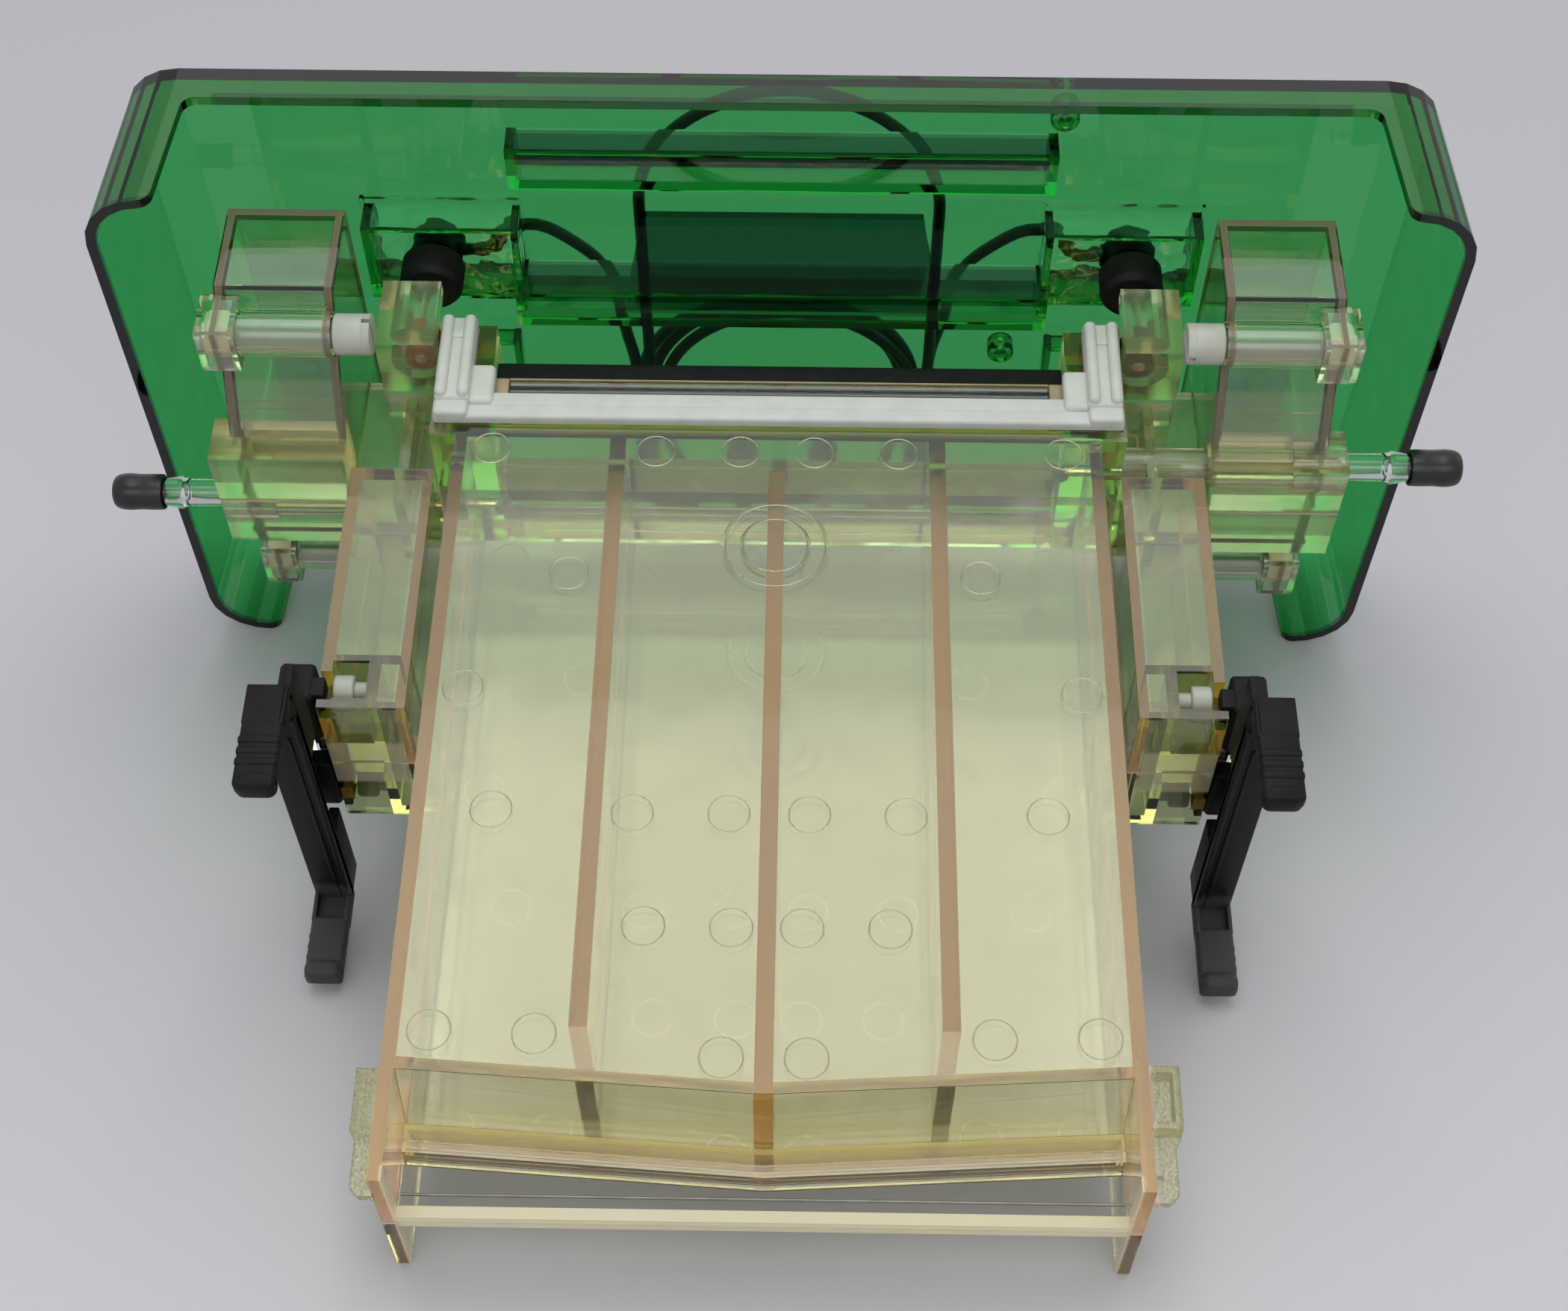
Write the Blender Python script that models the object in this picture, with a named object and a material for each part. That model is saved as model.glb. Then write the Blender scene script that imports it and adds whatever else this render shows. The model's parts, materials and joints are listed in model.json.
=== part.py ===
"""Slab-gel electrophoresis cooling core with its safety lid.

The core lies on its back. Its own frame has x to the right, y along the core towards the lid and z out of
the front panel, with z = 0 on the plane where the two identical half mouldings are bonded. An empty tilts
that frame onto the bench, so that the core's legs and the lid's feet stand on z = 0.
"""
import math

import bmesh
import bpy
from mathutils import Vector

for old in list(bpy.data.objects):
    bpy.data.objects.remove(old)

# Driving dimensions, in millimetres
MM = 0.001
FIT = 0.3                      # gap between touching pieces
BOND = FIT / 2                 # each half moulding starts this far from the bond plane

PANEL_HALF_WIDTH = 93.0        # cooling panel, over its side walls
PANEL_LENGTH = 200.0
CORE_HALF_DEPTH = 28.2         # bond plane to panel face
PANEL_THICKNESS = 3.0
WALL = 3.5
CHEVRON = 5.6                  # how far the V of the near edge stands out
END_DRAFT = 4.5                # lean of the V-shaped end wall over its height
RIB_THICKNESS = 4.6
RIB_SPACING = 45.85
RIB_END_GAP = 12.0             # side ribs stop short of the near end
RIB_FAR_GAP = 15.0             # the middle rib stops short of the far end
SIDE_PLATE_REACH = 29.0        # side plates pass the panel's near edge by this
FLANGE_WIDTH = 7.6
FLANGE_THICKNESS = 3.0
BEAD_WIDTH = 3.2
BEAD_RISE = 1.6
CROSS_BAR = 3.0
CROSS_BAR_SET = 0.5            # cross bar behind the side plates' ends

TAB_WIDTH = 11.0               # end tab beside the side plate
TAB_NEAR_WIDTH = 9.4
TAB_LENGTH = 34.0
TAB_SET = 7.0                  # tab's near edge behind the side plate's end
TAB_THICKNESS = 3.0
TAB_FRAME_LENGTH = 17.0
TAB_FRAME_RISE = 6.0
TAB_FRAME_WALL = 1.8
TAB_HOLE_RADIUS = 1.2
TAB_HOLE_SET = 6.0             # hole behind the tab's near edge

CHAMBER_INSET = 9.0            # chamber's inside within the panel's side
CHAMBER_WALL = 16.5
CHAMBER_FLOOR = 10.8           # seat of the gasket beyond the panel
CHAMBER_HEIGHT = 38.0          # chamber walls beyond the panel
SEAT_DROP = 0.5                # gasket's seat below the panel face

GASKET_INSET = 0.9             # gasket within the chamber's outside
GASKET_BAR_WIDTH = 9.2
GASKET_BAR_RISE = 3.2
GASKET_BLOCK_WIDTH = 10.6
GASKET_BLOCK_LENGTH = 31.0
GASKET_BLOCK_START = 5.0       # block's near end beyond the panel
GASKET_BLOCK_RISE = 6.0
GASKET_RIB_WIDTH = 3.2
GASKET_RIB_RISE = 2.0
GASKET_STEP_WIDTH = 6.6
GASKET_STEP_LENGTH = 9.5       # step beyond the bar
GASKET_STEP_RISE = 4.8

CLEAR_BAR_WIDTH = 6.7
CLEAR_BAR_DEPTH = 4.4
DARK_BAR_WIDTH = 8.0
DARK_BAR_DEPTH = 11.0

POST_SLOT = 4.6                # slot between the core and the hollow post
POST_WIDTH = 23.7
POST_LENGTH = 80.8
POST_FAR_GAP = 16.7            # post ends before the panel does
POST_WALL = 3.0
POCKET_WIDTH = 9.8
POCKET_LENGTH = 12.0
POCKET_DEPTH = 20.0
WEB_THICKNESS = 3.2
WEB_END_GAP = 2.0              # web ends before the chamber's walls
FIN_THICKNESS = 3.0
FIN_RISE = 14.0

EAR_GAP = 4.7                  # tall box, outside the post's side
EAR_WIDTH = 34.0
EAR_WALL = 3.0
EAR_RISE = 33.0                # box's top above the panel face
EAR_REACH = 52.0               # box's far face beyond the panel
EAR_TOP_LENGTH = 30.0
EAR_SLOPE = 24.0               # run of the slanted near face
EAR_KNEE = 14.0                # height where the slant starts

SCREW_SET = 9.0                # screw axis in front of the box's top
SCREW_DROP = 9.7               # screw axis below the box's top
SCREW_RADIUS = 3.9
SCREW_HEAD_RADIUS = 5.9
SCREW_HEAD_LENGTH = 10.6
SCREW_SLOT = 1.3
SCREW_SLOT_DEPTH = 2.5
SCREW_TIP = 0.9                # how far the end passes the nut block
BOSS_RADIUS = 6.6
NUT_FLATS = 11.2
NUT_THICKNESS = 7.0
NUT_BLOCK_LENGTH = 11.0
NUT_BLOCK_REACH = 3.6          # nut block outside the ear
NUT_BLOCK_WALL = 2.0

BARB_SET = 10.3                # barb axis behind its block's near face
BARB_Z = 9.5
BARB_RADIUS = 4.2
BARB_BORE = 2.6
BARB_RIDGE_RISE = 0.7
BARB_RIDGE_SET = 6.0           # ridge before the cap
BARB_BLOCK_REACH = 5.5         # block outside the ear
BARB_BLOCK_LEAD = 5.5          # block in front of the ear
BARB_BLOCK_WIDTH = 15.5
BARB_BLOCK_RISE = 10.0         # block's top above the barb's axis
BARB_SEAT = 15.0               # depth of the barb's socket
BARB_NECK = 20.1               # block to cap
BARB_TIP_LENGTH = 13.4         # barb inside its cap
CAP_WALL = 1.2
CAP_END = 1.8
DUCT_RADIUS = 5.0
DUCT_TURN = 1.4                # turned bore within the chamber's inside, clear of its own radius

ROLLER_RADIUS = 4.2
ROLLER_LENGTH = 5.6
ROLLER_AXLE_RADIUS = 2.4
ROLLER_DROP = 5.7              # roller axis below the post's top

LEVER_SET = 12.0               # hinge axis behind the post's near face
LEVER_OFFSET = 4.2             # hinge axis outside the post
LEVER_PIN_RADIUS = 2.0
LEVER_PIN_COVER = 4.0          # hub left over the end of the pin's bore
LEVER_LUG_RISE = 6.0
LEVER_LUG_HALF = 4.5
HUB_OUTER = 7.2
HUB_INNER = 2.7
HUB_FAR = 2.5
HUB_NEAR = 9.5
HUB_TOP_GAP = 0.2              # hub's top below the post's
LEVER_TAB_REACH = 2.9
LEVER_TAB_NEAR = 8.0
LEVER_TAB_FAR = 2.0
LEVER_TAB_DEPTH = 5.9
LEVER_SWING_GAP = 1.5
STRAP_THICKNESS = 3.0
STRAP_WIDTH = 10.6
STRAP_SET = 22.5               # strap in front of the hinge axis
ARM_LENGTH = 30.5
ARM_THICKNESS = 5.6
ARM_RISE = 28.4                # arm's outer face above the hub
LEVER_PLATE = 3.0
LEVER_RIB_START = 20.0
LEVER_RIB_LENGTH = 8.0

JACK_OFFSET = 5.0              # plug pin outside the chamber's wall
JACK_DROP = 1.2                # plug pin below the panel face
JACK_PIN_RADIUS = 2.0
JACK_COLLAR_RADIUS = 4.8
JACK_COLLAR_LENGTH = 6.7
CUP_START = 21.0               # cup beyond the panel
CUP_LENGTH = 25.0
CUP_FLOOR = 8.0
CUP_WALL = 3.0
CUP_RADIUS = 8.0
CUP_UNDER = 3.0                # extra material under the cup
CUP_SHIFT = 1.0                # cup's middle outside the pin

WIRE_RADIUS = 0.4              # electrode wires
UPPER_WIRE_LIFT = 3.0
LOWER_WIRE_SET = 7.5

LID_SIDE_GAP = 33.2            # lid's side outside the ear, at the rim
LID_DRAFT = 3.5                # lid's back is narrower than its rim by this, each side
LID_TOP_GAP = 30.4             # lid's top above the ear
LID_FOOT_GAP = 53.6            # lid's foot below the ear
LID_START = 25.0               # lid's rim beyond the panel
LID_WALL = 3.0
LID_CORNER = 18.0
LOBE_WIDTH = 21.3              # full-depth part of the long walls at each corner
LOBE_CORNER = 4.0              # rounding where the rim steps back
SHALLOW_DEPTH = 11.5           # depth of the long walls between the corners
RECESS_HALF_WIDTH = 80.0
RECESS_DEPTH = 10.0
RECESS_DROP = 18.6             # recess below the lid's top
RECESS_HEIGHT = 15.0
RECESS_WALL = 2.5
HOUSING_WIDTH = 47.0
HOUSING_INBOARD = 26.5         # housing's inner end from the plug pin
HOUSING_ABOVE = 14.5
HOUSING_BELOW = 15.0
HOUSING_DEPTH = 11.0
CHANNEL_DEPTH = 14.5
CHANNEL_OVERLAP = 6.0          # channel's top above the housings' foot
CHANNEL_HEIGHT = 14.0
CLIP_RADIUS = 3.1
CLIP_BORE = 1.9
CLIP_LENGTH = 7.0
CLIP_HOLES = ((81.3, 80.0), (70.2, -21.0))

PLUG_GAP = 6.3                 # cup's mouth to the plug collar
PLUG_ENGAGE = 9.7              # pin inside the plug collar
COLLAR_RADIUS = 9.5
COLLAR_LENGTH = 10.4
NECK_RADIUS = 6.0
SOCKET_CLEARANCE = 0.4
BOOT_RADIUS = 7.6
BOOT_LENGTH = 10.0
BOOT_ARM_RADIUS = 4.0
BOOT_ARM_REACH = 0.7           # arm outside the boot's body

COVER_TOP = 35.0               # plate over the lid's middle channel
COVER_LOW = -8.0
COVER_HALF_TOP = 43.0
COVER_HALF_LOW = 50.0
COVER_THICKNESS = 2.5

LEAD_RADIUS = 1.9
HANK_HALF_WIDTH = 50.0
HANK_LENGTH = 218.0
HANK_LIFT = 0.6                # hank's foot above the bench
HANK_STRANDS = 2               # strands side by side, across and through the hank
HANK_SLACK = 0.8
TIE_WIDTH = 8.0
TIE_THICKNESS = 0.8
TIE_SET = 78.0                 # tie above the hank's foot
PLUG_X = 14.0
PLUG_SET = 25.0                # plugs above the hank's foot
PLUG_RADIUS = 5.2
PLUG_LENGTH = 32.0
PLUG_PIN_RADIUS = 2.0
PLUG_PIN_LENGTH = 16.0

ROUND_SIDES = 24
SMALL_SIDES = 16
OVER = 1.0                     # how far a cutter passes the face that it cuts

# Places worked out from the driving dimensions
CHAMBER_HALF_WIDTH = PANEL_HALF_WIDTH - CHAMBER_INSET
CHAMBER_OUTER = CHAMBER_HALF_WIDTH + CHAMBER_WALL
CHAMBER_END = PANEL_LENGTH + CHAMBER_HEIGHT
GASKET_HALF_WIDTH = CHAMBER_OUTER - GASKET_INSET
POST_INNER = PANEL_HALF_WIDTH + POST_SLOT
POST_OUTER = POST_INNER + POST_WIDTH
POST_FAR = PANEL_LENGTH - POST_FAR_GAP
POST_NEAR = POST_FAR - POST_LENGTH
EAR_INNER = POST_OUTER + EAR_GAP
EAR_OUTER = EAR_INNER + EAR_WIDTH
EAR_TOP = CORE_HALF_DEPTH + EAR_RISE
EAR_FAR = PANEL_LENGTH + EAR_REACH
EAR_TOP_NEAR = EAR_FAR - EAR_TOP_LENGTH
EAR_LOW_NEAR = EAR_TOP_NEAR - EAR_SLOPE
SCREW_Y = EAR_TOP_NEAR - SCREW_SET
SCREW_Z = EAR_TOP - SCREW_DROP
NUT_BLOCK_END = EAR_OUTER + NUT_BLOCK_REACH
NUT_BLOCK_START = NUT_BLOCK_END - NUT_BLOCK_LENGTH
NUT_BLOCK_HALF = NUT_FLATS / 2 + NUT_BLOCK_WALL
NUT_SEAT = NUT_BLOCK_START + (NUT_BLOCK_LENGTH - NUT_THICKNESS) / 2
NUT_CORNER = NUT_FLATS / math.sqrt(3)
BARB_BLOCK_END = EAR_OUTER + BARB_BLOCK_REACH
BARB_BLOCK_NEAR = EAR_LOW_NEAR - BARB_BLOCK_LEAD
BARB_BLOCK_TOP = BARB_Z + BARB_BLOCK_RISE
BARB_Y = BARB_BLOCK_NEAR + BARB_SET
CAP_START = BARB_BLOCK_END + BARB_NECK
BARB_TIP = CAP_START + BARB_TIP_LENGTH
DUCT_TURN_X = CHAMBER_HALF_WIDTH - DUCT_TURN - BARB_BORE
LEVER_X = POST_OUTER + LEVER_OFFSET
LEVER_Y = POST_NEAR + LEVER_SET
HUB_TOP = CORE_HALF_DEPTH - HUB_TOP_GAP
ARM_TOP = HUB_TOP + ARM_RISE
ROLLER_Z = CORE_HALF_DEPTH - ROLLER_DROP
JACK_X = CHAMBER_OUTER + JACK_OFFSET
JACK_Z = CORE_HALF_DEPTH - JACK_DROP
CUP_X = JACK_X + CUP_SHIFT
CUP_OUTER_X = CUP_X + CUP_RADIUS + CUP_WALL
CUP_TOP = JACK_Z + CUP_RADIUS + CUP_WALL
CUP_LOW = JACK_Z - CUP_RADIUS - CUP_WALL - CUP_UNDER
CUP_NEAR = PANEL_LENGTH + CUP_START
CUP_FAR = CUP_NEAR + CUP_LENGTH
CUP_FLOOR_Y = CUP_NEAR + CUP_FLOOR
JACK_PIN_END = CUP_FAR + PLUG_GAP + PLUG_ENGAGE
HOUSING_FACE = CUP_FAR + PLUG_GAP + COLLAR_LENGTH + FIT
HOUSING_INNER = JACK_X - HOUSING_INBOARD
HOUSING_TOP = JACK_Z + HOUSING_ABOVE
HOUSING_LOW = JACK_Z - HOUSING_BELOW
CHANNEL_TOP = HOUSING_LOW + CHANNEL_OVERLAP
LID_HALF_WIDTH = EAR_OUTER + LID_SIDE_GAP
LID_TOP = EAR_TOP + LID_TOP_GAP
LID_BOTTOM = EAR_TOP + LID_FOOT_GAP
LID_RIM = PANEL_LENGTH + LID_START
LID_BACK_INNER = HOUSING_FACE + HOUSING_DEPTH
LID_BACK = LID_BACK_INNER + LID_WALL
RECESS_TOP = LID_TOP - RECESS_DROP
BOOT_ARM_END = JACK_X - BOOT_RADIUS - BOOT_ARM_REACH
COVER_BACK = LID_BACK + FIT + COVER_THICKNESS
HANK_BAND = 2 * LEAD_RADIUS * HANK_STRANDS + HANK_SLACK
HANK_FACE = COVER_BACK + FIT
BENCH_SLOPE = (LID_BOTTOM - CORE_HALF_DEPTH) / (LID_RIM + SIDE_PLATE_REACH)
BENCH_TILT = math.atan(BENCH_SLOPE)
HANK_LOW = HANK_LIFT - CORE_HALF_DEPTH - (HANK_FACE + SIDE_PLATE_REACH) * BENCH_SLOPE
HANK_TOP = HANK_LOW + HANK_LENGTH
TIE_Z = HANK_LOW + TIE_SET
PLUG_LOW = HANK_LOW + PLUG_SET

root = bpy.data.objects.new("bench_tilt", None)
bpy.context.collection.objects.link(root)


# Materials
def finish(name, colour, roughness, metallic=0.0, clear=0.0):
    """A Principled material; clear is the share of light that passes through."""
    material = bpy.data.materials.new(name)
    material.use_nodes = True
    shader = material.node_tree.nodes["Principled BSDF"]
    shader.inputs["Base Color"].default_value = (*colour, 1.0)
    shader.inputs["Roughness"].default_value = roughness
    shader.inputs["Metallic"].default_value = metallic
    shader.inputs["Transmission Weight"].default_value = clear
    material.diffuse_color = (*colour, 1.0)
    return material


AMBER = finish("amber_polysulfone", (0.72, 0.66, 0.42), 0.12, clear=0.9)
CLEAR = finish("clear_acrylic", (0.75, 0.77, 0.76), 0.1, clear=0.9)
GREEN = finish("green_acrylic", (0.03, 0.42, 0.12), 0.08, clear=0.8)
SILICONE = finish("white_silicone", (0.83, 0.83, 0.80), 0.55)
NYLON = finish("white_nylon", (0.86, 0.86, 0.82), 0.4)
CREAM = finish("cream_nylon", (0.84, 0.78, 0.62), 0.45)
BLACK = finish("black_plastic", (0.02, 0.02, 0.022), 0.4)
VINYL = finish("black_vinyl", (0.015, 0.015, 0.016), 0.3)
RED = finish("red_plastic", (0.5, 0.03, 0.02), 0.35)
STEEL = finish("stainless_steel", (0.6, 0.6, 0.6), 0.25, metallic=1.0)
BRASS = finish("plated_brass", (0.72, 0.66, 0.5), 0.25, metallic=1.0)
PLATINUM = finish("platinum", (0.75, 0.74, 0.72), 0.2, metallic=1.0)


# Shape helpers: every one returns a closed scratch object in the core frame
def scratch(bm):
    """Turn a bmesh in millimetres into a scratch object in metres."""
    bmesh.ops.recalc_face_normals(bm, faces=bm.faces)
    bmesh.ops.scale(bm, vec=Vector((MM, MM, MM)), verts=bm.verts)
    mesh = bpy.data.meshes.new("shape")
    bm.to_mesh(mesh)
    bm.free()
    shape = bpy.data.objects.new("shape", mesh)
    bpy.context.collection.objects.link(shape)
    return shape


def loft(rings):
    """Skin a list of closed rings of points, with flat ends."""
    bm = bmesh.new()
    loops = [[bm.verts.new(point) for point in ring] for ring in rings]
    count = len(loops[0])
    for first, second in zip(loops, loops[1:]):
        for i in range(count):
            j = (i + 1) % count
            bm.faces.new((first[i], first[j], second[j], second[i]))
    bm.faces.new(loops[0])
    bm.faces.new(loops[-1])
    return scratch(bm)


def prism(outline, axis, start, end):
    """Extrude an outline along one axis; its points give the other two coordinates in order."""
    def place(point, along):
        values = list(point)
        values.insert("xyz".index(axis), along)
        return values
    return loft([[place(point, along) for point in outline] for along in (start, end)])


def box(x, y, z):
    return prism(((x[0], y[0]), (x[1], y[0]), (x[1], y[1]), (x[0], y[1])), "z", z[0], z[1])


def circle(centre, radius, sides=ROUND_SIDES):
    turn = math.pi / sides
    return [(centre[0] + radius * math.cos(turn * (2 * i + 1)), centre[1] + radius * math.sin(turn * (2 * i + 1)))
            for i in range(sides)]


def rod(axis, centre, radius, start, end, sides=ROUND_SIDES):
    return prism(circle(centre, radius, sides), axis, start, end)


def turned(axis, centre, profile, sides=ROUND_SIDES):
    """A turned solid from (place along the axis, radius) pairs."""
    spot = "xyz".index(axis)
    rings = []
    for along, radius in profile:
        ring = []
        for point in circle(centre, radius, sides):
            values = list(point)
            values.insert(spot, along)
            ring.append(values)
        rings.append(ring)
    return loft(rings)


def rounded(x, z, radius, steps=5):
    """A rectangle with round corners, as points."""
    points = []
    corners = ((x[1], z[1], 0), (x[0], z[1], 1), (x[0], z[0], 2), (x[1], z[0], 3))
    for cx, cz, quarter in corners:
        inward_x = radius if cx == x[0] else -radius
        inward_z = radius if cz == z[0] else -radius
        for step in range(steps + 1):
            angle = math.pi / 2 * (quarter + step / steps)
            points.append((cx + inward_x + radius * math.cos(angle), cz + inward_z + radius * math.sin(angle)))
    return points


def span(side, near, far):
    """Two x values on the left (-1) or right (1) side, in rising order."""
    return tuple(sorted((side * near, side * far)))


def boolean(shape, others, operation):
    """Join or cut a shape with a list of others, and leave only the result."""
    group = bpy.data.collections.new("operands")
    for other in others:
        group.objects.link(other)
    modifier = shape.modifiers.new("cut", "BOOLEAN")
    modifier.operation = operation
    modifier.operand_type = "COLLECTION"
    modifier.collection = group
    modifier.solver = "EXACT"
    graph = bpy.context.evaluated_depsgraph_get()
    mesh = bpy.data.meshes.new_from_object(shape.evaluated_get(graph))
    shape.modifiers.clear()
    shape.data = mesh
    for other in others:
        bpy.data.objects.remove(other)
    bpy.data.collections.remove(group)


def piece(name, material, add, cut=(), place=(0, 0, 0), turn=(0, 0, 0)):
    """Name the union of some shapes less the cuts, and hang it on the tilted frame."""
    shape = add[0]
    if len(add) > 1:
        boolean(shape, list(add[1:]), "UNION")
    if cut:
        boolean(shape, list(cut), "DIFFERENCE")
    shape.name = name
    shape.data.name = name
    shape.data.materials.clear()
    shape.data.materials.append(material)
    shape.data.set_sharp_from_angle(angle=math.radians(35))
    shape.parent = root
    shape.location = [value * MM for value in place]
    shape.rotation_euler = turn
    return shape


def twin(source, name, place=(0, 0, 0)):
    """The same piece turned half a turn about the core's long axis."""
    copy = bpy.data.objects.new(name, source.data)
    bpy.context.collection.objects.link(copy)
    copy.parent = root
    copy.location = [value * MM for value in place]
    copy.rotation_euler = (0, math.pi, 0)
    return copy


# Half moulding of the core
def near_edge(inset, lean):
    """The V-shaped near edge, left to right, set in by the wall and leaning outwards."""
    half = PANEL_HALF_WIDTH - inset
    return ((-half, inset - lean), (0, inset - lean - CHEVRON), (half, inset - lean))


def tray_ring(inset, lean, z):
    half = PANEL_HALF_WIDTH - inset
    far = PANEL_LENGTH - inset
    points = near_edge(inset, lean) + ((half, far), (-half, far))
    return [(x, y, z) for x, y in points]


def strip_v(start, width, z):
    """A V-shaped strip along the foot of the end wall."""
    half = PANEL_HALF_WIDTH - WALL / 2
    back = ((-half, -start), (0, -start - CHEVRON), (half, -start))
    front = ((half, -start - width), (0, -start - width - CHEVRON), (-half, -start - width))
    return prism(back + front, "z", z[0], z[1])


def core_tray(add, cut):
    """Panel, walls, ribs, end flange, side plates and cross bar."""
    top = CORE_HALF_DEPTH
    under = top - PANEL_THICKNESS
    low = BOND - 1.0
    add.append(loft((tray_ring(0, END_DRAFT, BOND), tray_ring(0, 0, top))))
    hollow = loft((tray_ring(WALL, END_DRAFT, low), tray_ring(WALL, 0, under)))
    ribs = []
    for i in (-1, 0, 1):
        x = (i * RIB_SPACING - RIB_THICKNESS / 2, i * RIB_SPACING + RIB_THICKNESS / 2)
        near = RIB_END_GAP if i else -CHEVRON - END_DRAFT
        far = PANEL_LENGTH if i else PANEL_LENGTH - RIB_FAR_GAP
        ribs.append(box(x, (near, far), (low - 1.0, under + 1.0)))
    boolean(hollow, ribs, "DIFFERENCE")
    cut.append(hollow)
    for side in (-1, 1):
        x = span(side, PANEL_HALF_WIDTH - WALL, PANEL_HALF_WIDTH)
        add.append(box(x, (-SIDE_PLATE_REACH, 2 * WALL), (BOND, top)))
    inner = PANEL_HALF_WIDTH - WALL / 2
    bar = CROSS_BAR_SET - SIDE_PLATE_REACH
    add.append(box((-inner, inner), (bar, bar + CROSS_BAR), (BOND, CROSS_BAR)))
    add.append(strip_v(END_DRAFT - WALL, FLANGE_WIDTH + WALL, (BOND, FLANGE_THICKNESS)))
    add.append(strip_v(END_DRAFT + FLANGE_WIDTH - BEAD_WIDTH, BEAD_WIDTH, (BOND, FLANGE_THICKNESS + BEAD_RISE)))


def end_tab(add, cut):
    """Tab beside the right side plate, with a raised frame and a small hole."""
    start = PANEL_HALF_WIDTH - WALL / 2
    near = TAB_SET - SIDE_PLATE_REACH
    far = near + TAB_LENGTH
    bend = far - TAB_FRAME_LENGTH
    wide = PANEL_HALF_WIDTH + TAB_WIDTH
    slim = PANEL_HALF_WIDTH + TAB_NEAR_WIDTH
    corner = TAB_NEAR_WIDTH / 4
    outline = ((start, near), (slim - corner, near), (slim, near + corner), (slim, bend - corner), (wide, bend),
               (wide, far), (start, far))
    add.append(prism(outline, "z", BOND, TAB_THICKNESS))
    frame_x = (PANEL_HALF_WIDTH + TAB_FRAME_WALL, wide - FIT)
    frame_y = (bend, far - FIT)
    top = TAB_THICKNESS + TAB_FRAME_RISE
    add.append(box(frame_x, frame_y, (TAB_THICKNESS / 2, top)))
    cut.append(box((frame_x[0] + TAB_FRAME_WALL, frame_x[1] - TAB_FRAME_WALL),
                   (frame_y[0] + TAB_FRAME_WALL, frame_y[1] - TAB_FRAME_WALL), (TAB_THICKNESS, top + OVER)))
    centre = (PANEL_HALF_WIDTH + TAB_NEAR_WIDTH / 2, near + TAB_HOLE_SET)
    cut.append(rod("z", centre, TAB_HOLE_RADIUS, BOND - OVER, TAB_THICKNESS + OVER, 8))


def chamber(add):
    """Floor and side walls of the upper buffer chamber, open to the front and to the lid."""
    top = CORE_HALF_DEPTH - SEAT_DROP
    floor_y = (PANEL_LENGTH - WALL, PANEL_LENGTH + CHAMBER_FLOOR)
    half = CHAMBER_HALF_WIDTH + WALL
    add.append(box((-half, half), floor_y, (BOND, top)))
    for side in (-1, 1):
        add.append(box(span(side, CHAMBER_HALF_WIDTH, CHAMBER_OUTER), (PANEL_LENGTH - WALL, CHAMBER_END),
                       (BOND, top)))


def ear(side, add, cut):
    """Tall hollow box with its screw boss and nut block, and the coolant block in front of it."""
    x = span(side, EAR_INNER, EAR_OUTER)
    outer = ((EAR_FAR, EAR_TOP), (EAR_TOP_NEAR, EAR_TOP), (EAR_LOW_NEAR, EAR_KNEE), (EAR_LOW_NEAR, BOND),
             (EAR_FAR, BOND))
    add.append(prism(outer, "x", x[0], x[1]))
    w = EAR_WALL
    inner = ((EAR_FAR - w, EAR_TOP - w), (EAR_TOP_NEAR + w * 0.6, EAR_TOP - w), (EAR_LOW_NEAR + w, EAR_KNEE - w * 0.6),
             (EAR_LOW_NEAR + w, BOND - 1), (EAR_FAR - w, BOND - 1))
    hollow = prism(inner, "x", x[0] + w, x[1] - w)
    block_x = span(side, EAR_INNER, BARB_BLOCK_END)
    block_y = (BARB_BLOCK_NEAR, BARB_BLOCK_NEAR + BARB_BLOCK_WIDTH)
    nut_y = (SCREW_Y - NUT_BLOCK_HALF, SCREW_Y + NUT_BLOCK_HALF)
    nut_z = (SCREW_Z - NUT_BLOCK_HALF, SCREW_Z + NUT_BLOCK_HALF)
    keep = [box((block_x[0] - 1, block_x[1] + 1), (block_y[0] - 1, block_y[1]), (BOND - 2, BARB_BLOCK_TOP)),
            rod("x", (SCREW_Y, SCREW_Z), BOSS_RADIUS, x[0] - 1, x[1] + 1),
            box(span(side, NUT_BLOCK_START, NUT_BLOCK_END + 1), nut_y, nut_z)]
    boolean(hollow, keep, "DIFFERENCE")
    cut.append(hollow)
    add.append(box(block_x, block_y, (BOND, BARB_BLOCK_TOP)))
    boss_x = span(side, EAR_INNER, NUT_BLOCK_END - 1)
    add.append(rod("x", (SCREW_Y, SCREW_Z), BOSS_RADIUS, boss_x[0], boss_x[1]))
    add.append(box(span(side, NUT_BLOCK_START, NUT_BLOCK_END), nut_y, nut_z))
    cut.append(rod("x", (SCREW_Y, SCREW_Z), SCREW_RADIUS + FIT, *span(side, EAR_INNER - 2, NUT_BLOCK_END + 2)))
    flat = NUT_FLATS / 2 + FIT
    cut.append(box(span(side, NUT_SEAT - FIT, NUT_SEAT + NUT_THICKNESS + FIT), (SCREW_Y - flat, SCREW_Y + flat),
                   (SCREW_Z - NUT_BLOCK_HALF - OVER, SCREW_Z + NUT_CORNER + FIT)))


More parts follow.
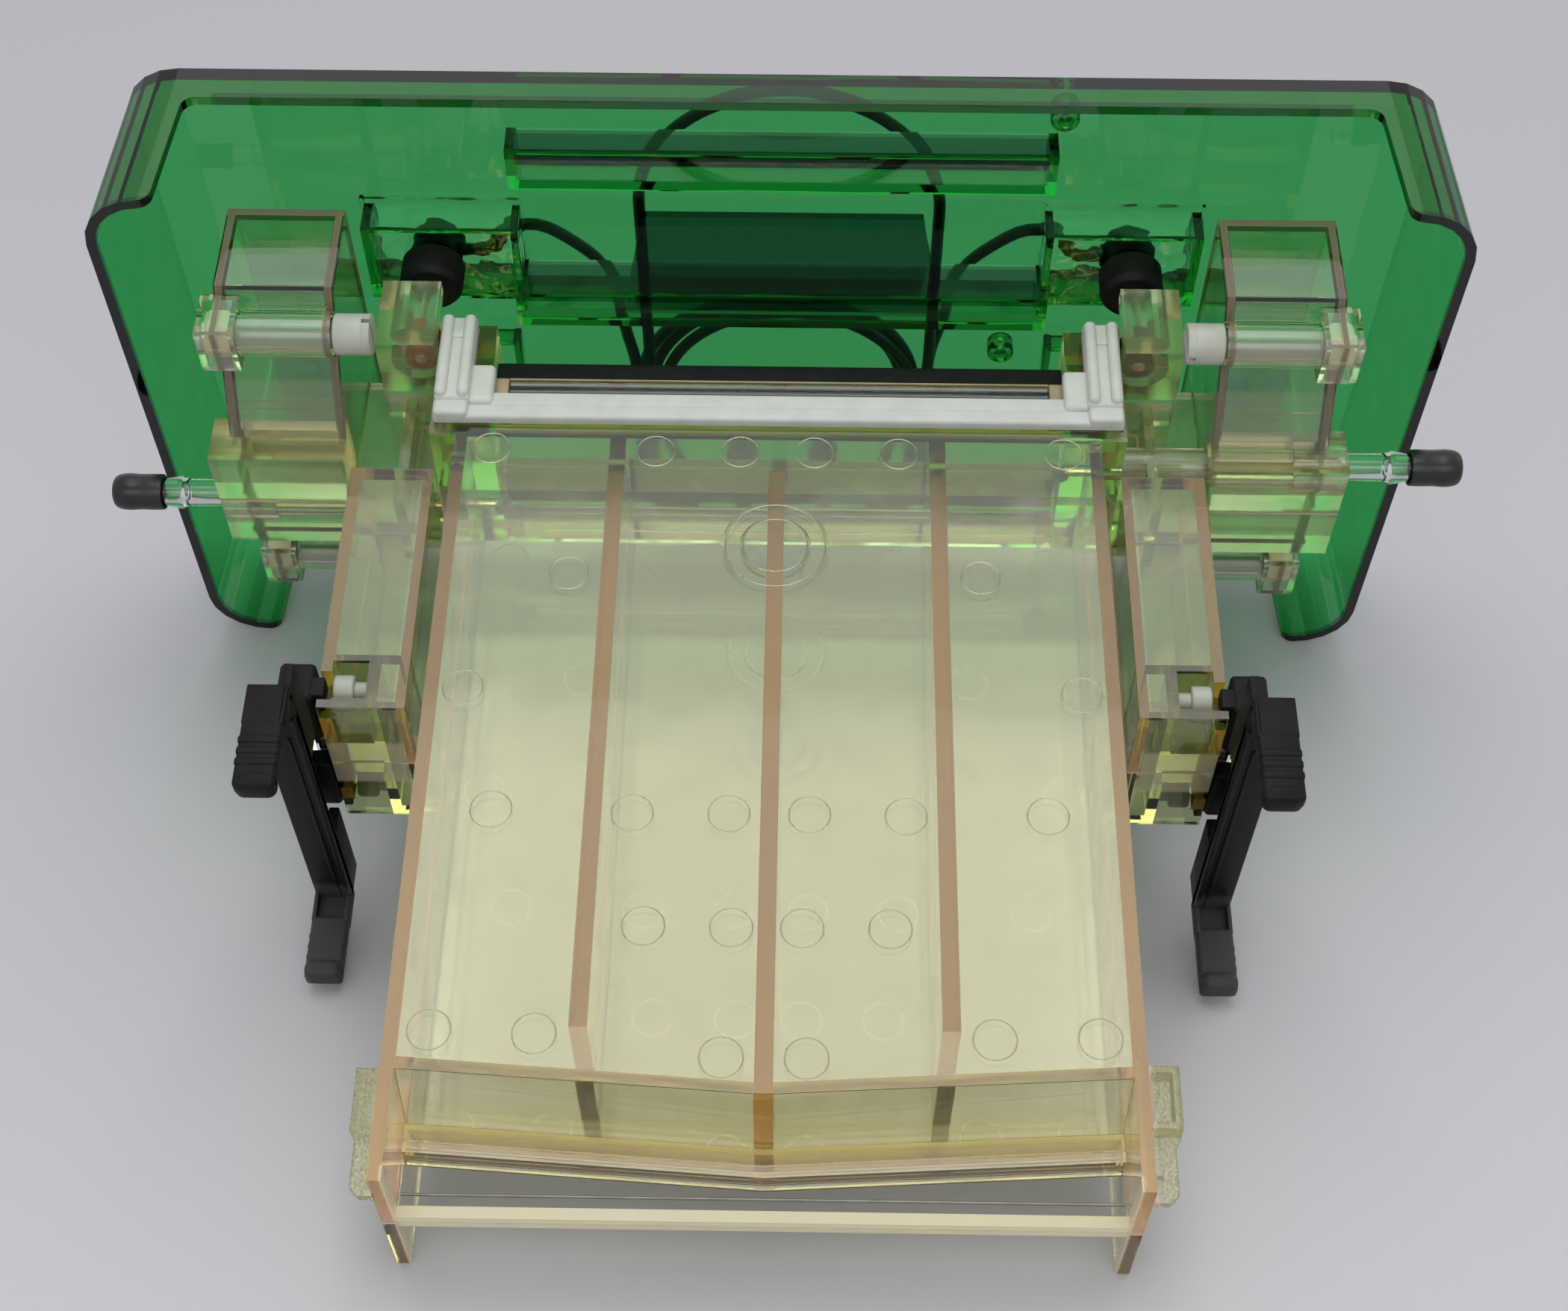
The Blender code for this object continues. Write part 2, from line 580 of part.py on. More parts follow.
def duct(add, cut):
    """Coolant duct on the right: barb socket, cross bore and the turn into the core."""
    socket = BARB_BLOCK_END - BARB_SEAT
    centre = (BARB_Y, BARB_Z)
    add.append(rod("x", centre, DUCT_RADIUS, CHAMBER_OUTER - WALL, EAR_INNER + WALL))
    cut.append(rod("x", centre, BARB_RADIUS + FIT, socket, BARB_BLOCK_END + 1))
    cut.append(rod("x", centre, BARB_BORE, DUCT_TURN_X, socket + 1, SMALL_SIDES))
    cut.append(rod("y", (DUCT_TURN_X + BARB_BORE, BARB_Z), BARB_BORE, PANEL_LENGTH - 2 * WALL, BARB_Y, SMALL_SIDES))


def post(side, add, cut):
    """Hollow post with a catch pocket at its near end, a notch for the lever and half of its hinge lug."""
    top = CORE_HALF_DEPTH
    w = POST_WALL
    add.append(box(span(side, POST_INNER, POST_OUTER), (POST_NEAR, POST_FAR), (BOND, top)))
    pocket_y = (POST_NEAR + w, POST_NEAR + w + POCKET_LENGTH)
    pocket_in = POST_OUTER - w - POCKET_WIDTH
    cut.append(box(span(side, POST_INNER + w, POST_OUTER - w), (pocket_y[1] + w, POST_FAR - w), (BOND - 1, top - w)))
    cut.append(box(span(side, pocket_in, POST_OUTER - w), pocket_y, (top - POCKET_DEPTH, top + 1)))
    cut.append(box(span(side, POST_INNER + w, pocket_in - w), pocket_y, (BOND - 1, top - w)))
    notch_y = (LEVER_Y - LEVER_TAB_NEAR - LEVER_SWING_GAP, LEVER_Y - LEVER_TAB_FAR + LEVER_SWING_GAP)
    cut.append(box(span(side, POST_OUTER - w - 1, POST_OUTER + 1), notch_y,
                   (HUB_TOP - LEVER_TAB_DEPTH - 1.0, top + 1)))
    add.append(box(span(side, POST_OUTER - w / 2, LEVER_X + LEVER_LUG_HALF),
                   (LEVER_Y - LEVER_LUG_HALF, LEVER_Y + LEVER_LUG_HALF), (BOND, LEVER_LUG_RISE)))
    cut.append(rod("z", (side * LEVER_X, LEVER_Y), LEVER_PIN_RADIUS + FIT, BOND - 1, LEVER_LUG_RISE + 1, SMALL_SIDES))


def web(side, add):
    """Web that joins the post, the ear and the chamber, with its fin."""
    end = CHAMBER_END - WEB_END_GAP
    add.append(box(span(side, POST_INNER, EAR_INNER + 1), (POST_FAR - 1, end), (BOND, WEB_THICKNESS)))
    fin = (POST_INNER + POST_OUTER) / 2
    add.append(box(span(side, fin - FIN_THICKNESS / 2, fin + FIN_THICKNESS / 2), (POST_FAR - 1, CUP_NEAR + 1),
                   (BOND, FIN_RISE)))


def jack_cup(side, add, cut):
    """Cup around a plug pin, open towards the lid."""
    x = span(side, CHAMBER_OUTER - BOND, CUP_OUTER_X)
    add.append(box(x, (CUP_NEAR, CUP_FAR), (CUP_LOW, CUP_TOP)))
    add.append(box(x, (CUP_NEAR, CUP_FLOOR_Y), (BOND, CUP_LOW + CUP_WALL)))
    cut.append(rod("y", (side * CUP_X, JACK_Z), CUP_RADIUS, CUP_FLOOR_Y, CUP_FAR + OVER))


def half_moulding():
    add, cut = [], []
    core_tray(add, cut)
    end_tab(add, cut)
    chamber(add)
    for side in (-1, 1):
        ear(side, add, cut)
        post(side, add, cut)
        web(side, add)
        jack_cup(side, add, cut)
    duct(add, cut)
    return piece("front_core_half", AMBER, add, cut)


# Pieces on the core
def gasket():
    """White U-shaped seal: a bar, two ribbed blocks and their inner steps."""
    seat = CORE_HALF_DEPTH - SEAT_DROP + FIT
    near = PANEL_LENGTH + FIT
    add = [box((-GASKET_HALF_WIDTH, GASKET_HALF_WIDTH), (near, near + GASKET_BAR_WIDTH),
               (seat, seat + GASKET_BAR_RISE))]
    for side in (-1, 1):
        inner = GASKET_HALF_WIDTH - GASKET_BLOCK_WIDTH
        block_y = (PANEL_LENGTH + GASKET_BLOCK_START, PANEL_LENGTH + GASKET_BLOCK_START + GASKET_BLOCK_LENGTH)
        top = seat + GASKET_BLOCK_RISE
        add.append(box(span(side, inner, GASKET_HALF_WIDTH - FIT), block_y, (seat, top)))
        for start in (inner + FIT, GASKET_HALF_WIDTH - 2 * FIT - GASKET_RIB_WIDTH):
            add.append(box(span(side, start, start + GASKET_RIB_WIDTH), (block_y[0] + FIT, block_y[1] - FIT),
                           (top - 1, top + GASKET_RIB_RISE)))
        step_y = (near + GASKET_BAR_WIDTH / 2, near + GASKET_BAR_WIDTH + GASKET_STEP_LENGTH)
        add.append(box(span(side, inner - GASKET_STEP_WIDTH, inner + 1), step_y, (seat, seat + GASKET_STEP_RISE)))
    return piece("front_gasket", SILICONE, add)


def chamber_bars():
    """The clear bar at the chamber's mouth and the black bar behind it."""
    half = CHAMBER_HALF_WIDTH - FIT
    near = PANEL_LENGTH + CHAMBER_FLOOR + FIT
    top = CORE_HALF_DEPTH - FIT
    clear = piece("front_clear_bar", CLEAR,
                  [box((-half, half), (near, near + CLEAR_BAR_WIDTH), (top - CLEAR_BAR_DEPTH, top))])
    dark_near = near + CLEAR_BAR_WIDTH + FIT
    dark_top = top - CLEAR_BAR_DEPTH
    dark = piece("front_seal_bar", BLACK,
                 [box((-half, half), (dark_near, dark_near + DARK_BAR_WIDTH), (dark_top - DARK_BAR_DEPTH, dark_top))])
    return clear, dark


def nylon_screw(name, side, level):
    """Slotted screw along x; its head sits on the ear's inner wall."""
    z = level * SCREW_Z
    face = EAR_INNER - FIT
    end = NUT_BLOCK_END + SCREW_TIP
    profile = ((face - SCREW_HEAD_LENGTH, SCREW_HEAD_RADIUS - 0.6), (face - SCREW_HEAD_LENGTH + 0.6, SCREW_HEAD_RADIUS),
               (face, SCREW_HEAD_RADIUS), (face, SCREW_RADIUS), (end - 1.5, SCREW_RADIUS), (end, SCREW_RADIUS / 2))
    shape = turned("x", (SCREW_Y, z), [(side * along, radius) for along, radius in profile])
    head = side * (face - SCREW_HEAD_LENGTH)
    slot = box((head - SCREW_SLOT_DEPTH, head + SCREW_SLOT_DEPTH), (SCREW_Y - SCREW_HEAD_RADIUS - 1, SCREW_Y + SCREW_HEAD_RADIUS + 1),
               (z - SCREW_SLOT / 2, z + SCREW_SLOT / 2))
    return piece(name, NYLON, [shape], [slot])


def nylon_nut(name, side, level):
    z = level * SCREW_Z
    x = span(side, NUT_SEAT, NUT_SEAT + NUT_THICKNESS)
    body = rod("x", (SCREW_Y, z), NUT_CORNER, x[0], x[1], 6)
    bore = rod("x", (SCREW_Y, z), SCREW_RADIUS + FIT, x[0] - 1, x[1] + 1)
    return piece(name, CREAM, [body], [bore])


def hose_barb():
    """Clear hose barb on the right of the front half."""
    start = BARB_BLOCK_END - BARB_SEAT + FIT
    ridge = CAP_START - BARB_RIDGE_SET
    ridge_radius = BARB_RADIUS + BARB_RIDGE_RISE
    outer = turned("x", (BARB_Y, BARB_Z), ((start, BARB_RADIUS), (ridge, BARB_RADIUS), (ridge, ridge_radius),
                                           (ridge + BARB_RIDGE_SET / 5, ridge_radius),
                                           (ridge + BARB_RIDGE_SET * 0.87, BARB_RADIUS),
                                           (BARB_TIP - 2, BARB_RADIUS), (BARB_TIP, BARB_RADIUS - 0.8)))
    bore = rod("x", (BARB_Y, BARB_Z), BARB_BORE, start - 1, BARB_TIP + 1, SMALL_SIDES)
    return piece("right_hose_barb", CLEAR, [outer], [bore])


def barb_cap():
    """Black push-on cap over the barb's tip; its origin is on the barb's axis."""
    radius = BARB_RADIUS + FIT + CAP_WALL
    length = BARB_TIP - CAP_START + FIT + CAP_END
    outer = turned("x", (0, 0), ((0, radius), (length * 0.7, radius), (length * 0.9, radius * 0.86),
                                 (length, radius * 0.55)))
    bore = rod("x", (0, 0), BARB_RADIUS + FIT, -1, length - CAP_END)
    return piece("right_barb_cap", VINYL, [outer], [bore], (CAP_START, BARB_Y, BARB_Z))


def catch_roller(name, side, level):
    """White roller with its thinner axle, held between the pocket's walls."""
    outer = POST_OUTER - POST_WALL - FIT
    inner = POST_OUTER - POST_WALL - POCKET_WIDTH + FIT
    profile = ((inner, ROLLER_AXLE_RADIUS), (outer - ROLLER_LENGTH, ROLLER_AXLE_RADIUS),
               (outer - ROLLER_LENGTH, ROLLER_RADIUS), (outer, ROLLER_RADIUS))
    y = POST_NEAR + POST_WALL + POCKET_LENGTH / 2
    return piece(name, NYLON, [turned("x", (y, level * ROLLER_Z), [(side * along, r) for along, r in profile])])


def lever():
    """C-shaped release lever, built around its hinge axis for the left side."""
    hub_low = LEVER_LUG_RISE + 2 * FIT
    strap_x = (-HUB_OUTER, STRAP_WIDTH - HUB_OUTER)
    strap_y = (-STRAP_SET - STRAP_THICKNESS, -STRAP_SET)
    add = [box(strap_x, strap_y, (-ARM_TOP + ARM_THICKNESS / 2, ARM_TOP - ARM_THICKNESS / 2))]
    add.append(box((-HUB_OUTER, -HUB_OUTER + LEVER_PLATE), (-STRAP_SET - STRAP_THICKNESS / 2, -HUB_NEAR / 2), (-HUB_TOP, HUB_TOP)))
    for level in (-1, 1):
        add.append(box((-HUB_OUTER, HUB_INNER), (-HUB_NEAR, HUB_FAR), span(level, hub_low, HUB_TOP)))
        add.append(box((HUB_INNER - 1, HUB_INNER + LEVER_TAB_REACH), (-LEVER_TAB_NEAR, -LEVER_TAB_FAR),
                       span(level, HUB_TOP - LEVER_TAB_DEPTH, HUB_TOP - FIT)))
        add.append(box(strap_x, (-STRAP_SET - ARM_LENGTH, -STRAP_SET), span(level, ARM_TOP - ARM_THICKNESS, ARM_TOP)))
        add.append(box((strap_x[1] - LEVER_PLATE, strap_x[1]), (-STRAP_SET - STRAP_THICKNESS / 2, -STRAP_SET + LEVER_RIB_LENGTH),
                       span(level, LEVER_RIB_START, ARM_TOP - ARM_THICKNESS / 2)))
    bore = rod("z", (0, 0), LEVER_PIN_RADIUS + FIT, LEVER_PIN_COVER - HUB_TOP, HUB_TOP - LEVER_PIN_COVER, SMALL_SIDES)
    return piece("left_release_lever", BLACK, add, [bore], (-LEVER_X, LEVER_Y, 0))


def lever_pin(name, side):
    reach = HUB_TOP - LEVER_PIN_COVER - FIT
    return piece(name, STEEL, [rod("z", (side * LEVER_X, LEVER_Y), LEVER_PIN_RADIUS, -reach, reach, SMALL_SIDES)])


def jack(side, name, colour):
    """Plug pin and its coloured collar, on the floor of the cup."""
    x = side * JACK_X
    foot = CUP_FLOOR_Y + FIT
    pin = turned("y", (x, JACK_Z), ((foot, JACK_PIN_RADIUS), (JACK_PIN_END - 1.5, JACK_PIN_RADIUS),
                                    (JACK_PIN_END, JACK_PIN_RADIUS / 2)), SMALL_SIDES)
    piece(name + "_jack_pin", BRASS, [pin])
    ring = rod("y", (x, JACK_Z), JACK_COLLAR_RADIUS, foot, foot + JACK_COLLAR_LENGTH)
    bore = rod("y", (x, JACK_Z), JACK_PIN_RADIUS + FIT, foot - 1, foot + JACK_COLLAR_LENGTH + 1, SMALL_SIDES)
    piece(name + "_jack_collar", colour, [ring], [bore])


def electrode_wires():
    half = CHAMBER_HALF_WIDTH - FIT
    y = PANEL_LENGTH + CHAMBER_FLOOR + UPPER_WIRE_LIFT
    piece("upper_electrode_wire", PLATINUM, [rod("x", (y, 0), WIRE_RADIUS, -half, half, 8)])
    half = PANEL_HALF_WIDTH - WALL - FIT
    piece("lower_electrode_wire", PLATINUM, [rod("x", (LOWER_WIRE_SET - SIDE_PLATE_REACH, 0), WIRE_RADIUS, -half, half, 8)])


# Lid and what it carries
def lid_half_width(y):
    """Half width of the lid's outside, which narrows from the rim to the back."""
    return LID_HALF_WIDTH - LID_DRAFT * (y - LID_RIM) / (LID_BACK - LID_RIM)


def lid_ring(inset, y):
    half = lid_half_width(y) - inset
    outline = rounded((-half, half), (-LID_BOTTOM + inset, LID_TOP - inset), LID_CORNER - inset)
    return [(x, y, z) for x, z in outline]


def lobe_gap():
    """What the long walls lose between the corner lobes, with rounded corners, as (x, y) points."""
    shallow = LID_BACK - SHALLOW_DEPTH
    r = LOBE_CORNER
    first = lid_half_width(LID_RIM) - LOBE_WIDTH
    last = lid_half_width(shallow) - LOBE_WIDTH
    half = [(first + r, LID_RIM - OVER)]
    for i in range(5):
        angle = math.pi / 8 * i
        half.append((first + r - r * math.sin(angle), LID_RIM + r - r * math.cos(angle)))
    for i in range(5):
        angle = math.pi / 8 * i
        half.append((last - r + r * math.cos(angle), shallow - r + r * math.sin(angle)))
    return half + [(-x, y) for x, y in reversed(half)]


def lid_shell():
    """Shallow tray open towards the core, with corner lobes, finger recess, lead channel and plug housings."""
    w = LID_WALL
    shell = loft((lid_ring(0, LID_RIM), lid_ring(0, LID_BACK)))
    hollow = loft((lid_ring(w, LID_RIM - OVER), lid_ring(w, LID_BACK_INNER)))
    boolean(shell, [hollow], "DIFFERENCE")
    add, cut = [shell], []
    outline = lobe_gap()
    cut.append(prism(outline, "z", LID_TOP - 2 * w, LID_TOP + OVER))
    cut.append(prism(outline, "z", -LID_BOTTOM - OVER, -LID_BOTTOM + 2 * w))
    r = RECESS_WALL
    back = LID_BACK + OVER
    channel = HOUSING_INNER + r
    hollows = ((RECESS_HALF_WIDTH, RECESS_DEPTH, RECESS_TOP, RECESS_HEIGHT), (channel, CHANNEL_DEPTH, CHANNEL_TOP,
                                                                            CHANNEL_HEIGHT))
    for half, depth, top, height in hollows:
        face = LID_BACK_INNER - depth
        add.append(box((-half, half), (face, LID_BACK_INNER + 1), (top - height, top)))
        cut.append(box((-half + r, half - r), (face + r, back), (top - height + r, top - r)))
    for side in (-1, 1):
        x = (HOUSING_INNER, HOUSING_INNER + HOUSING_WIDTH)
        add.append(box(span(side, *x), (HOUSING_FACE, LID_BACK_INNER + 1), (HOUSING_LOW, HOUSING_TOP)))
        cut.append(box(span(side, x[0] + r, x[1] - r), (HOUSING_FACE + r, back), (HOUSING_LOW + r, HOUSING_TOP - r)))
        cut.append(rod("y", (side * JACK_X, JACK_Z), NECK_RADIUS + FIT, HOUSING_FACE - 1, HOUSING_FACE + r + 1))
    for x, z in CLIP_HOLES:
        cut.append(rod("y", (x, z), CLIP_RADIUS + FIT, LID_BACK_INNER - 1, back, SMALL_SIDES))
    return piece("lid_shell", GREEN, add, cut)


def lid_clip(name, x, z):
    """Small ring pushed into a hole of the lid's back."""
    start = LID_BACK_INNER - (CLIP_LENGTH - LID_WALL) / 2
    ring = rod("y", (x, z), CLIP_RADIUS, start, start + CLIP_LENGTH, SMALL_SIDES)
    bore = rod("y", (x, z), CLIP_BORE, start - 1, start + CLIP_LENGTH + 1, SMALL_SIDES)
    return piece(name, CLEAR, [ring], [bore])


def plug_socket(side, name):
    """Black collar inside the lid and the boot behind it, with the arm that the lead leaves by."""
    centre = (side * JACK_X, JACK_Z)
    face = HOUSING_FACE - FIT
    inside = HOUSING_FACE + RECESS_WALL
    collar = turned("y", centre, ((face - COLLAR_LENGTH, COLLAR_RADIUS - 1.5), (face - COLLAR_LENGTH + 2, COLLAR_RADIUS),
                                  (face, COLLAR_RADIUS), (face, NECK_RADIUS), (inside, NECK_RADIUS)))
    bore = rod("y", centre, JACK_PIN_RADIUS + SOCKET_CLEARANCE, face - COLLAR_LENGTH - 1, inside + 1, SMALL_SIDES)
    piece(name + "_plug_collar", BLACK, [collar], [bore])
    start = inside + FIT
    y = start + BOOT_LENGTH / 2
    body = turned("y", centre, ((start, BOOT_RADIUS), (start + BOOT_LENGTH - 1.5, BOOT_RADIUS),
                                (start + BOOT_LENGTH, BOOT_RADIUS - 1.5)))
    arm = rod("x", (y, JACK_Z), BOOT_ARM_RADIUS, *span(side, BOOT_ARM_END, JACK_X), SMALL_SIDES)
    piece(name + "_plug_boot", BLACK, [body, arm])
    return y


def channel_cover():
    """Trapezoid plate over the middle of the lid's lead channel."""
    outline = ((-COVER_HALF_LOW, COVER_LOW), (COVER_HALF_LOW, COVER_LOW), (COVER_HALF_TOP, COVER_TOP),
               (-COVER_HALF_TOP, COVER_TOP))
    shape = loft([[(x, y, z) for x, z in outline] for y in (LID_BACK + FIT, COVER_BACK)])
    return piece("lead_channel_cover", GREEN, [shape])


# Leads: the free stretches, the hank of both leads, its tie and the plugs
def smooth(points, step):
    """Points a fixed step apart on a Catmull-Rom curve through the route's own points."""
    route = [Vector(point) for point in points]
    route = [2 * route[0] - route[1]] + route + [2 * route[-1] - route[-2]]
    dense = []
    for a, b, c, d in zip(route, route[1:], route[2:], route[3:]):
        for i in range(40):
            t = i / 40
            dense.append(0.5 * (2 * b + (c - a) * t + (2 * a - 5 * b + 4 * c - d) * t * t
                                + (3 * b - a - 3 * c + d) * t ** 3))
    dense.append(route[-2])
    kept = [dense[0]]
    for point in dense:
        if (point - kept[-1]).length >= step:
            kept.append(point)
    kept[-1] = dense[-1]
    return kept


def cord(name, points, material):
    """A round cord along smooth points, with filled ends."""
    curve = bpy.data.curves.new(name, "CURVE")
    curve.dimensions = "3D"
    curve.bevel_depth = LEAD_RADIUS * MM
    curve.bevel_resolution = 2
    curve.use_fill_caps = True
    path = smooth(points, 4 * LEAD_RADIUS)
    spline = curve.splines.new("POLY")
    spline.points.add(len(path) - 1)
    for slot, point in zip(spline.points, path):
        slot.co = (*(point * MM), 1.0)
    curve.materials.append(material)
    shape = bpy.data.objects.new(name, curve)
    bpy.context.collection.objects.link(shape)
    shape.parent = root
    return shape


def stadium(half, low, high, inset, steps=10):
    """Outline with two round ends, as (x, z) points."""
    radius = half - inset
    points = []
    for centre, start in ((high - half, 0), (low + half, math.pi)):
        for i in range(steps + 1):
            angle = start + math.pi * i / steps
            points.append((radius * math.cos(angle), centre + radius * math.sin(angle)))
    return points


def lead_hank():
    """Both leads wound into one long loop behind the lid, with a tie on its left run."""
    y = (HANK_FACE, HANK_FACE + HANK_BAND)
    outer = prism(stadium(HANK_HALF_WIDTH, HANK_LOW, HANK_TOP, 0), "y", y[0], y[1])
    inner = prism(stadium(HANK_HALF_WIDTH, HANK_LOW, HANK_TOP, HANK_BAND), "y", y[0] - 1, y[1] + 1)
    piece("lead_hank", BLACK, [outer], [inner])
    t = TIE_THICKNESS
    inside = HANK_HALF_WIDTH - HANK_BAND
    ring = box((-HANK_HALF_WIDTH - FIT - t, -inside + FIT + t), (y[0] - FIT - t, y[1] + FIT + t),
               (TIE_Z, TIE_Z + TIE_WIDTH))
    hole = box((-HANK_HALF_WIDTH - FIT, -inside + FIT), (y[0] - FIT, y[1] + FIT), (TIE_Z - 1, TIE_Z + TIE_WIDTH + 1))
    piece("hank_tie", BLACK, [ring], [hole])


def lead_route(side, boot_y):
    """From the boot's arm over the lid's back to the outside of the hank."""
    end = HANK_HALF_WIDTH + LEAD_RADIUS + FIT
    middle = HANK_FACE + HANK_BAND / 2
    edge = HOUSING_INNER + RECESS_WALL
    start = BOOT_ARM_END - FIT
    return [(side * start, boot_y, JACK_Z), (side * (start - 4.0), boot_y, JACK_Z),
            (side * (start - 8.0), boot_y, JACK_Z), (side * (edge + 5.0), boot_y + 4.2, JACK_Z),
            (side * (edge + 1.0), LID_BACK + 4.0, 26.6), (side * (edge - 6.0), middle - 0.5, 24.5),
            (side * (end + 16.0), middle, 19.5), (side * (end + 6.0), middle, 9.0),
            (side * (end + 0.8), middle, -4.0), (side * end, middle, -12.0)]


def lead_end(side, name, colour):
    """Short tail out of the hank's foot and the plug on it, leaning on the lid's back."""
    x = side * PLUG_X
    y = HANK_FACE + HANK_BAND / 2
    foot = HANK_LOW + HANK_HALF_WIDTH - math.sqrt((HANK_HALF_WIDTH - HANK_BAND) ** 2 - (PLUG_X + LEAD_RADIUS) ** 2)
    cord("lead_tail_" + name, [(x, y, foot + 2.5 * FIT), (x, y, (foot + PLUG_LOW) / 2), (x, y, PLUG_LOW - FIT)], BLACK)
    top = PLUG_LOW + PLUG_LENGTH
    shape = turned("z", (x, y), ((PLUG_LOW, LEAD_RADIUS + 1), (PLUG_LOW + 8, PLUG_RADIUS * 0.8),
                                 (PLUG_LOW + 10, PLUG_RADIUS), (top, PLUG_RADIUS), (top, PLUG_PIN_RADIUS),
                                 (top + PLUG_PIN_LENGTH - 1, PLUG_PIN_RADIUS), (top + PLUG_PIN_LENGTH, 1.0)),
                   SMALL_SIDES)
    piece("lead_plug_" + name, colour, [shape])


front = half_moulding()
twin(front, "rear_core_half")
twin(gasket(), "rear_gasket")
clear_bar, seal_bar = chamber_bars()
twin(clear_bar, "rear_clear_bar")
twin(seal_bar, "rear_seal_bar")
for side, side_name in ((-1, "left"), (1, "right")):
    for level, level_name in ((1, "front"), (-1, "rear")):
        place_name = level_name + "_" + side_name
        nylon_screw("nylon_screw_" + place_name, side, level)
        nylon_nut("nylon_nut_" + place_name, side, level)
        catch_roller("catch_roller_" + place_name, side, level)
    lever_pin(side_name + "_lever_pin", side)
twin(hose_barb(), "left_hose_barb")
twin(barb_cap(), "left_barb_cap", (-CAP_START, BARB_Y, -BARB_Z))
twin(lever(), "right_release_lever", (LEVER_X, LEVER_Y, 0))
jack(-1, "left", RED)
jack(1, "right", BLACK)
electrode_wires()
lid_shell()
for clip_name, (clip_x, clip_z) in zip(("upper_lid_clip", "lower_lid_clip"), CLIP_HOLES):
    lid_clip(clip_name, clip_x, clip_z)
channel_cover()
for side, side_name, plug_colour in ((-1, "left", RED), (1, "right", BLACK)):
    lead_height = plug_socket(side, side_name)
    cord("lead_" + side_name, lead_route(side, lead_height), BLACK)
    lead_end(side, side_name, plug_colour)
lead_hank()

# Tilt onto the bench and put the bench point under the middle of the object at the origin
root.rotation_euler = (BENCH_TILT, 0, 0)
far_end = LID_BACK * math.cos(BENCH_TILT) + LID_BOTTOM * math.sin(BENCH_TILT)
near_end = -SIDE_PLATE_REACH * math.cos(BENCH_TILT) - CORE_HALF_DEPTH * math.sin(BENCH_TILT)
floor = -SIDE_PLATE_REACH * math.sin(BENCH_TILT) - CORE_HALF_DEPTH * math.cos(BENCH_TILT)
root.location = (0, -(near_end + far_end) / 2 * MM, -floor * MM)
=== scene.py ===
# %% [markdown]
# # A slab-gel cooling core and its green safety lid
# The object is a clear amber moulding in two equal halves, lying on its back, with a green lid plugged on
# its upper end. The solids come packed from the part's source, in metres and in place. This lesson gives
# them finishes and replaces the small fittings with rounder ones. All places below are written in
# millimetres in the core's own frame: x to the right, y along the core towards the lid, h out of the
# front panel.

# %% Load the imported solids
import json
import math
import bmesh
import bpy
import numpy as np
from mathutils import Matrix


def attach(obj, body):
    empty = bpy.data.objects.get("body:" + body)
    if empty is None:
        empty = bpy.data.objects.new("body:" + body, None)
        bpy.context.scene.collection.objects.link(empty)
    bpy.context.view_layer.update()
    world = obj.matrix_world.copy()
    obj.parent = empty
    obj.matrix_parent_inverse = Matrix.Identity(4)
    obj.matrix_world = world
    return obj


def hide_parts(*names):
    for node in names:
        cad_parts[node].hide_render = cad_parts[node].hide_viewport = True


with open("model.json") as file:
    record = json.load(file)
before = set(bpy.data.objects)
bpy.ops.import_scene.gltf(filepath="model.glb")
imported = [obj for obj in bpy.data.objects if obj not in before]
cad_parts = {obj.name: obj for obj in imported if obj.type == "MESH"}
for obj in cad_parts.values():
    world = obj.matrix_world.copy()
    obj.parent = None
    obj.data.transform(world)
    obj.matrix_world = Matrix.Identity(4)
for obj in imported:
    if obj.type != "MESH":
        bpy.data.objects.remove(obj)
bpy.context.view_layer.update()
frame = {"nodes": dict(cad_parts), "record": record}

mount = next(m for m in frame["record"]["mounts"] if m["name"] == "front_panel_face")
out_of_panel = np.array(mount["axis"], float)
along_core = np.array([0.0, out_of_panel[2], -out_of_panel[1]])
core_axes = np.array([[1.0, 0.0, 0.0], along_core, out_of_panel])
MOUNT_SPOT = (20.0, 100.0, 28.2)
core_origin = np.array(mount["pos_m"], float) - np.array(MOUNT_SPOT) @ core_axes / 1000
core_tilt = math.atan2(along_core[2], along_core[1])


def bench(points):
    """Core millimetres to bench metres: the core's origin plus its three axes weighted by x, y and h."""
    return core_origin + np.asarray(points, float) @ core_axes / 1000


print("solids:", len(frame["nodes"]), "tilt in degrees:", round(math.degrees(core_tilt), 2))

# %% [markdown]
# ## The camera
# The photograph looks down on the panel from above its near end. Its place was found by matching the
# corners of the panel and the lid, so it is written here in the core's frame and turned onto the bench
# with everything else.

# %% Set the camera
PICTURE_WIDTH = 2100
FOCAL_PIXELS = 3183.6
SENSOR_WIDTH = 36.0
CAMERA_SPOT = (9.12, -235.22, 561.11)
CAMERA_ANGLES = (56.24, -0.98, -0.08)
dip, swing, roll = (math.radians(angle) for angle in CAMERA_ANGLES)
look = np.array([math.sin(swing) * math.cos(dip), math.cos(swing) * math.cos(dip), -math.sin(dip)])
level = np.cross(look, [0.0, 0.0, 1.0])
level /= np.linalg.norm(level)
upward = np.cross(level, look)
right = level * math.cos(roll) + upward * math.sin(roll)
upward = upward * math.cos(roll) - level * math.sin(roll)
camera = bpy.data.objects.new("photo_camera", bpy.data.cameras.new("photo_camera"))
bpy.context.scene.collection.objects.link(camera)
turn = np.eye(4)
turn[:3, :3] = (np.array([right, upward, -look]) @ core_axes).T
turn[:3, 3] = bench(CAMERA_SPOT)
camera.matrix_world = Matrix(turn.tolist())
camera.data.sensor_fit = "HORIZONTAL"
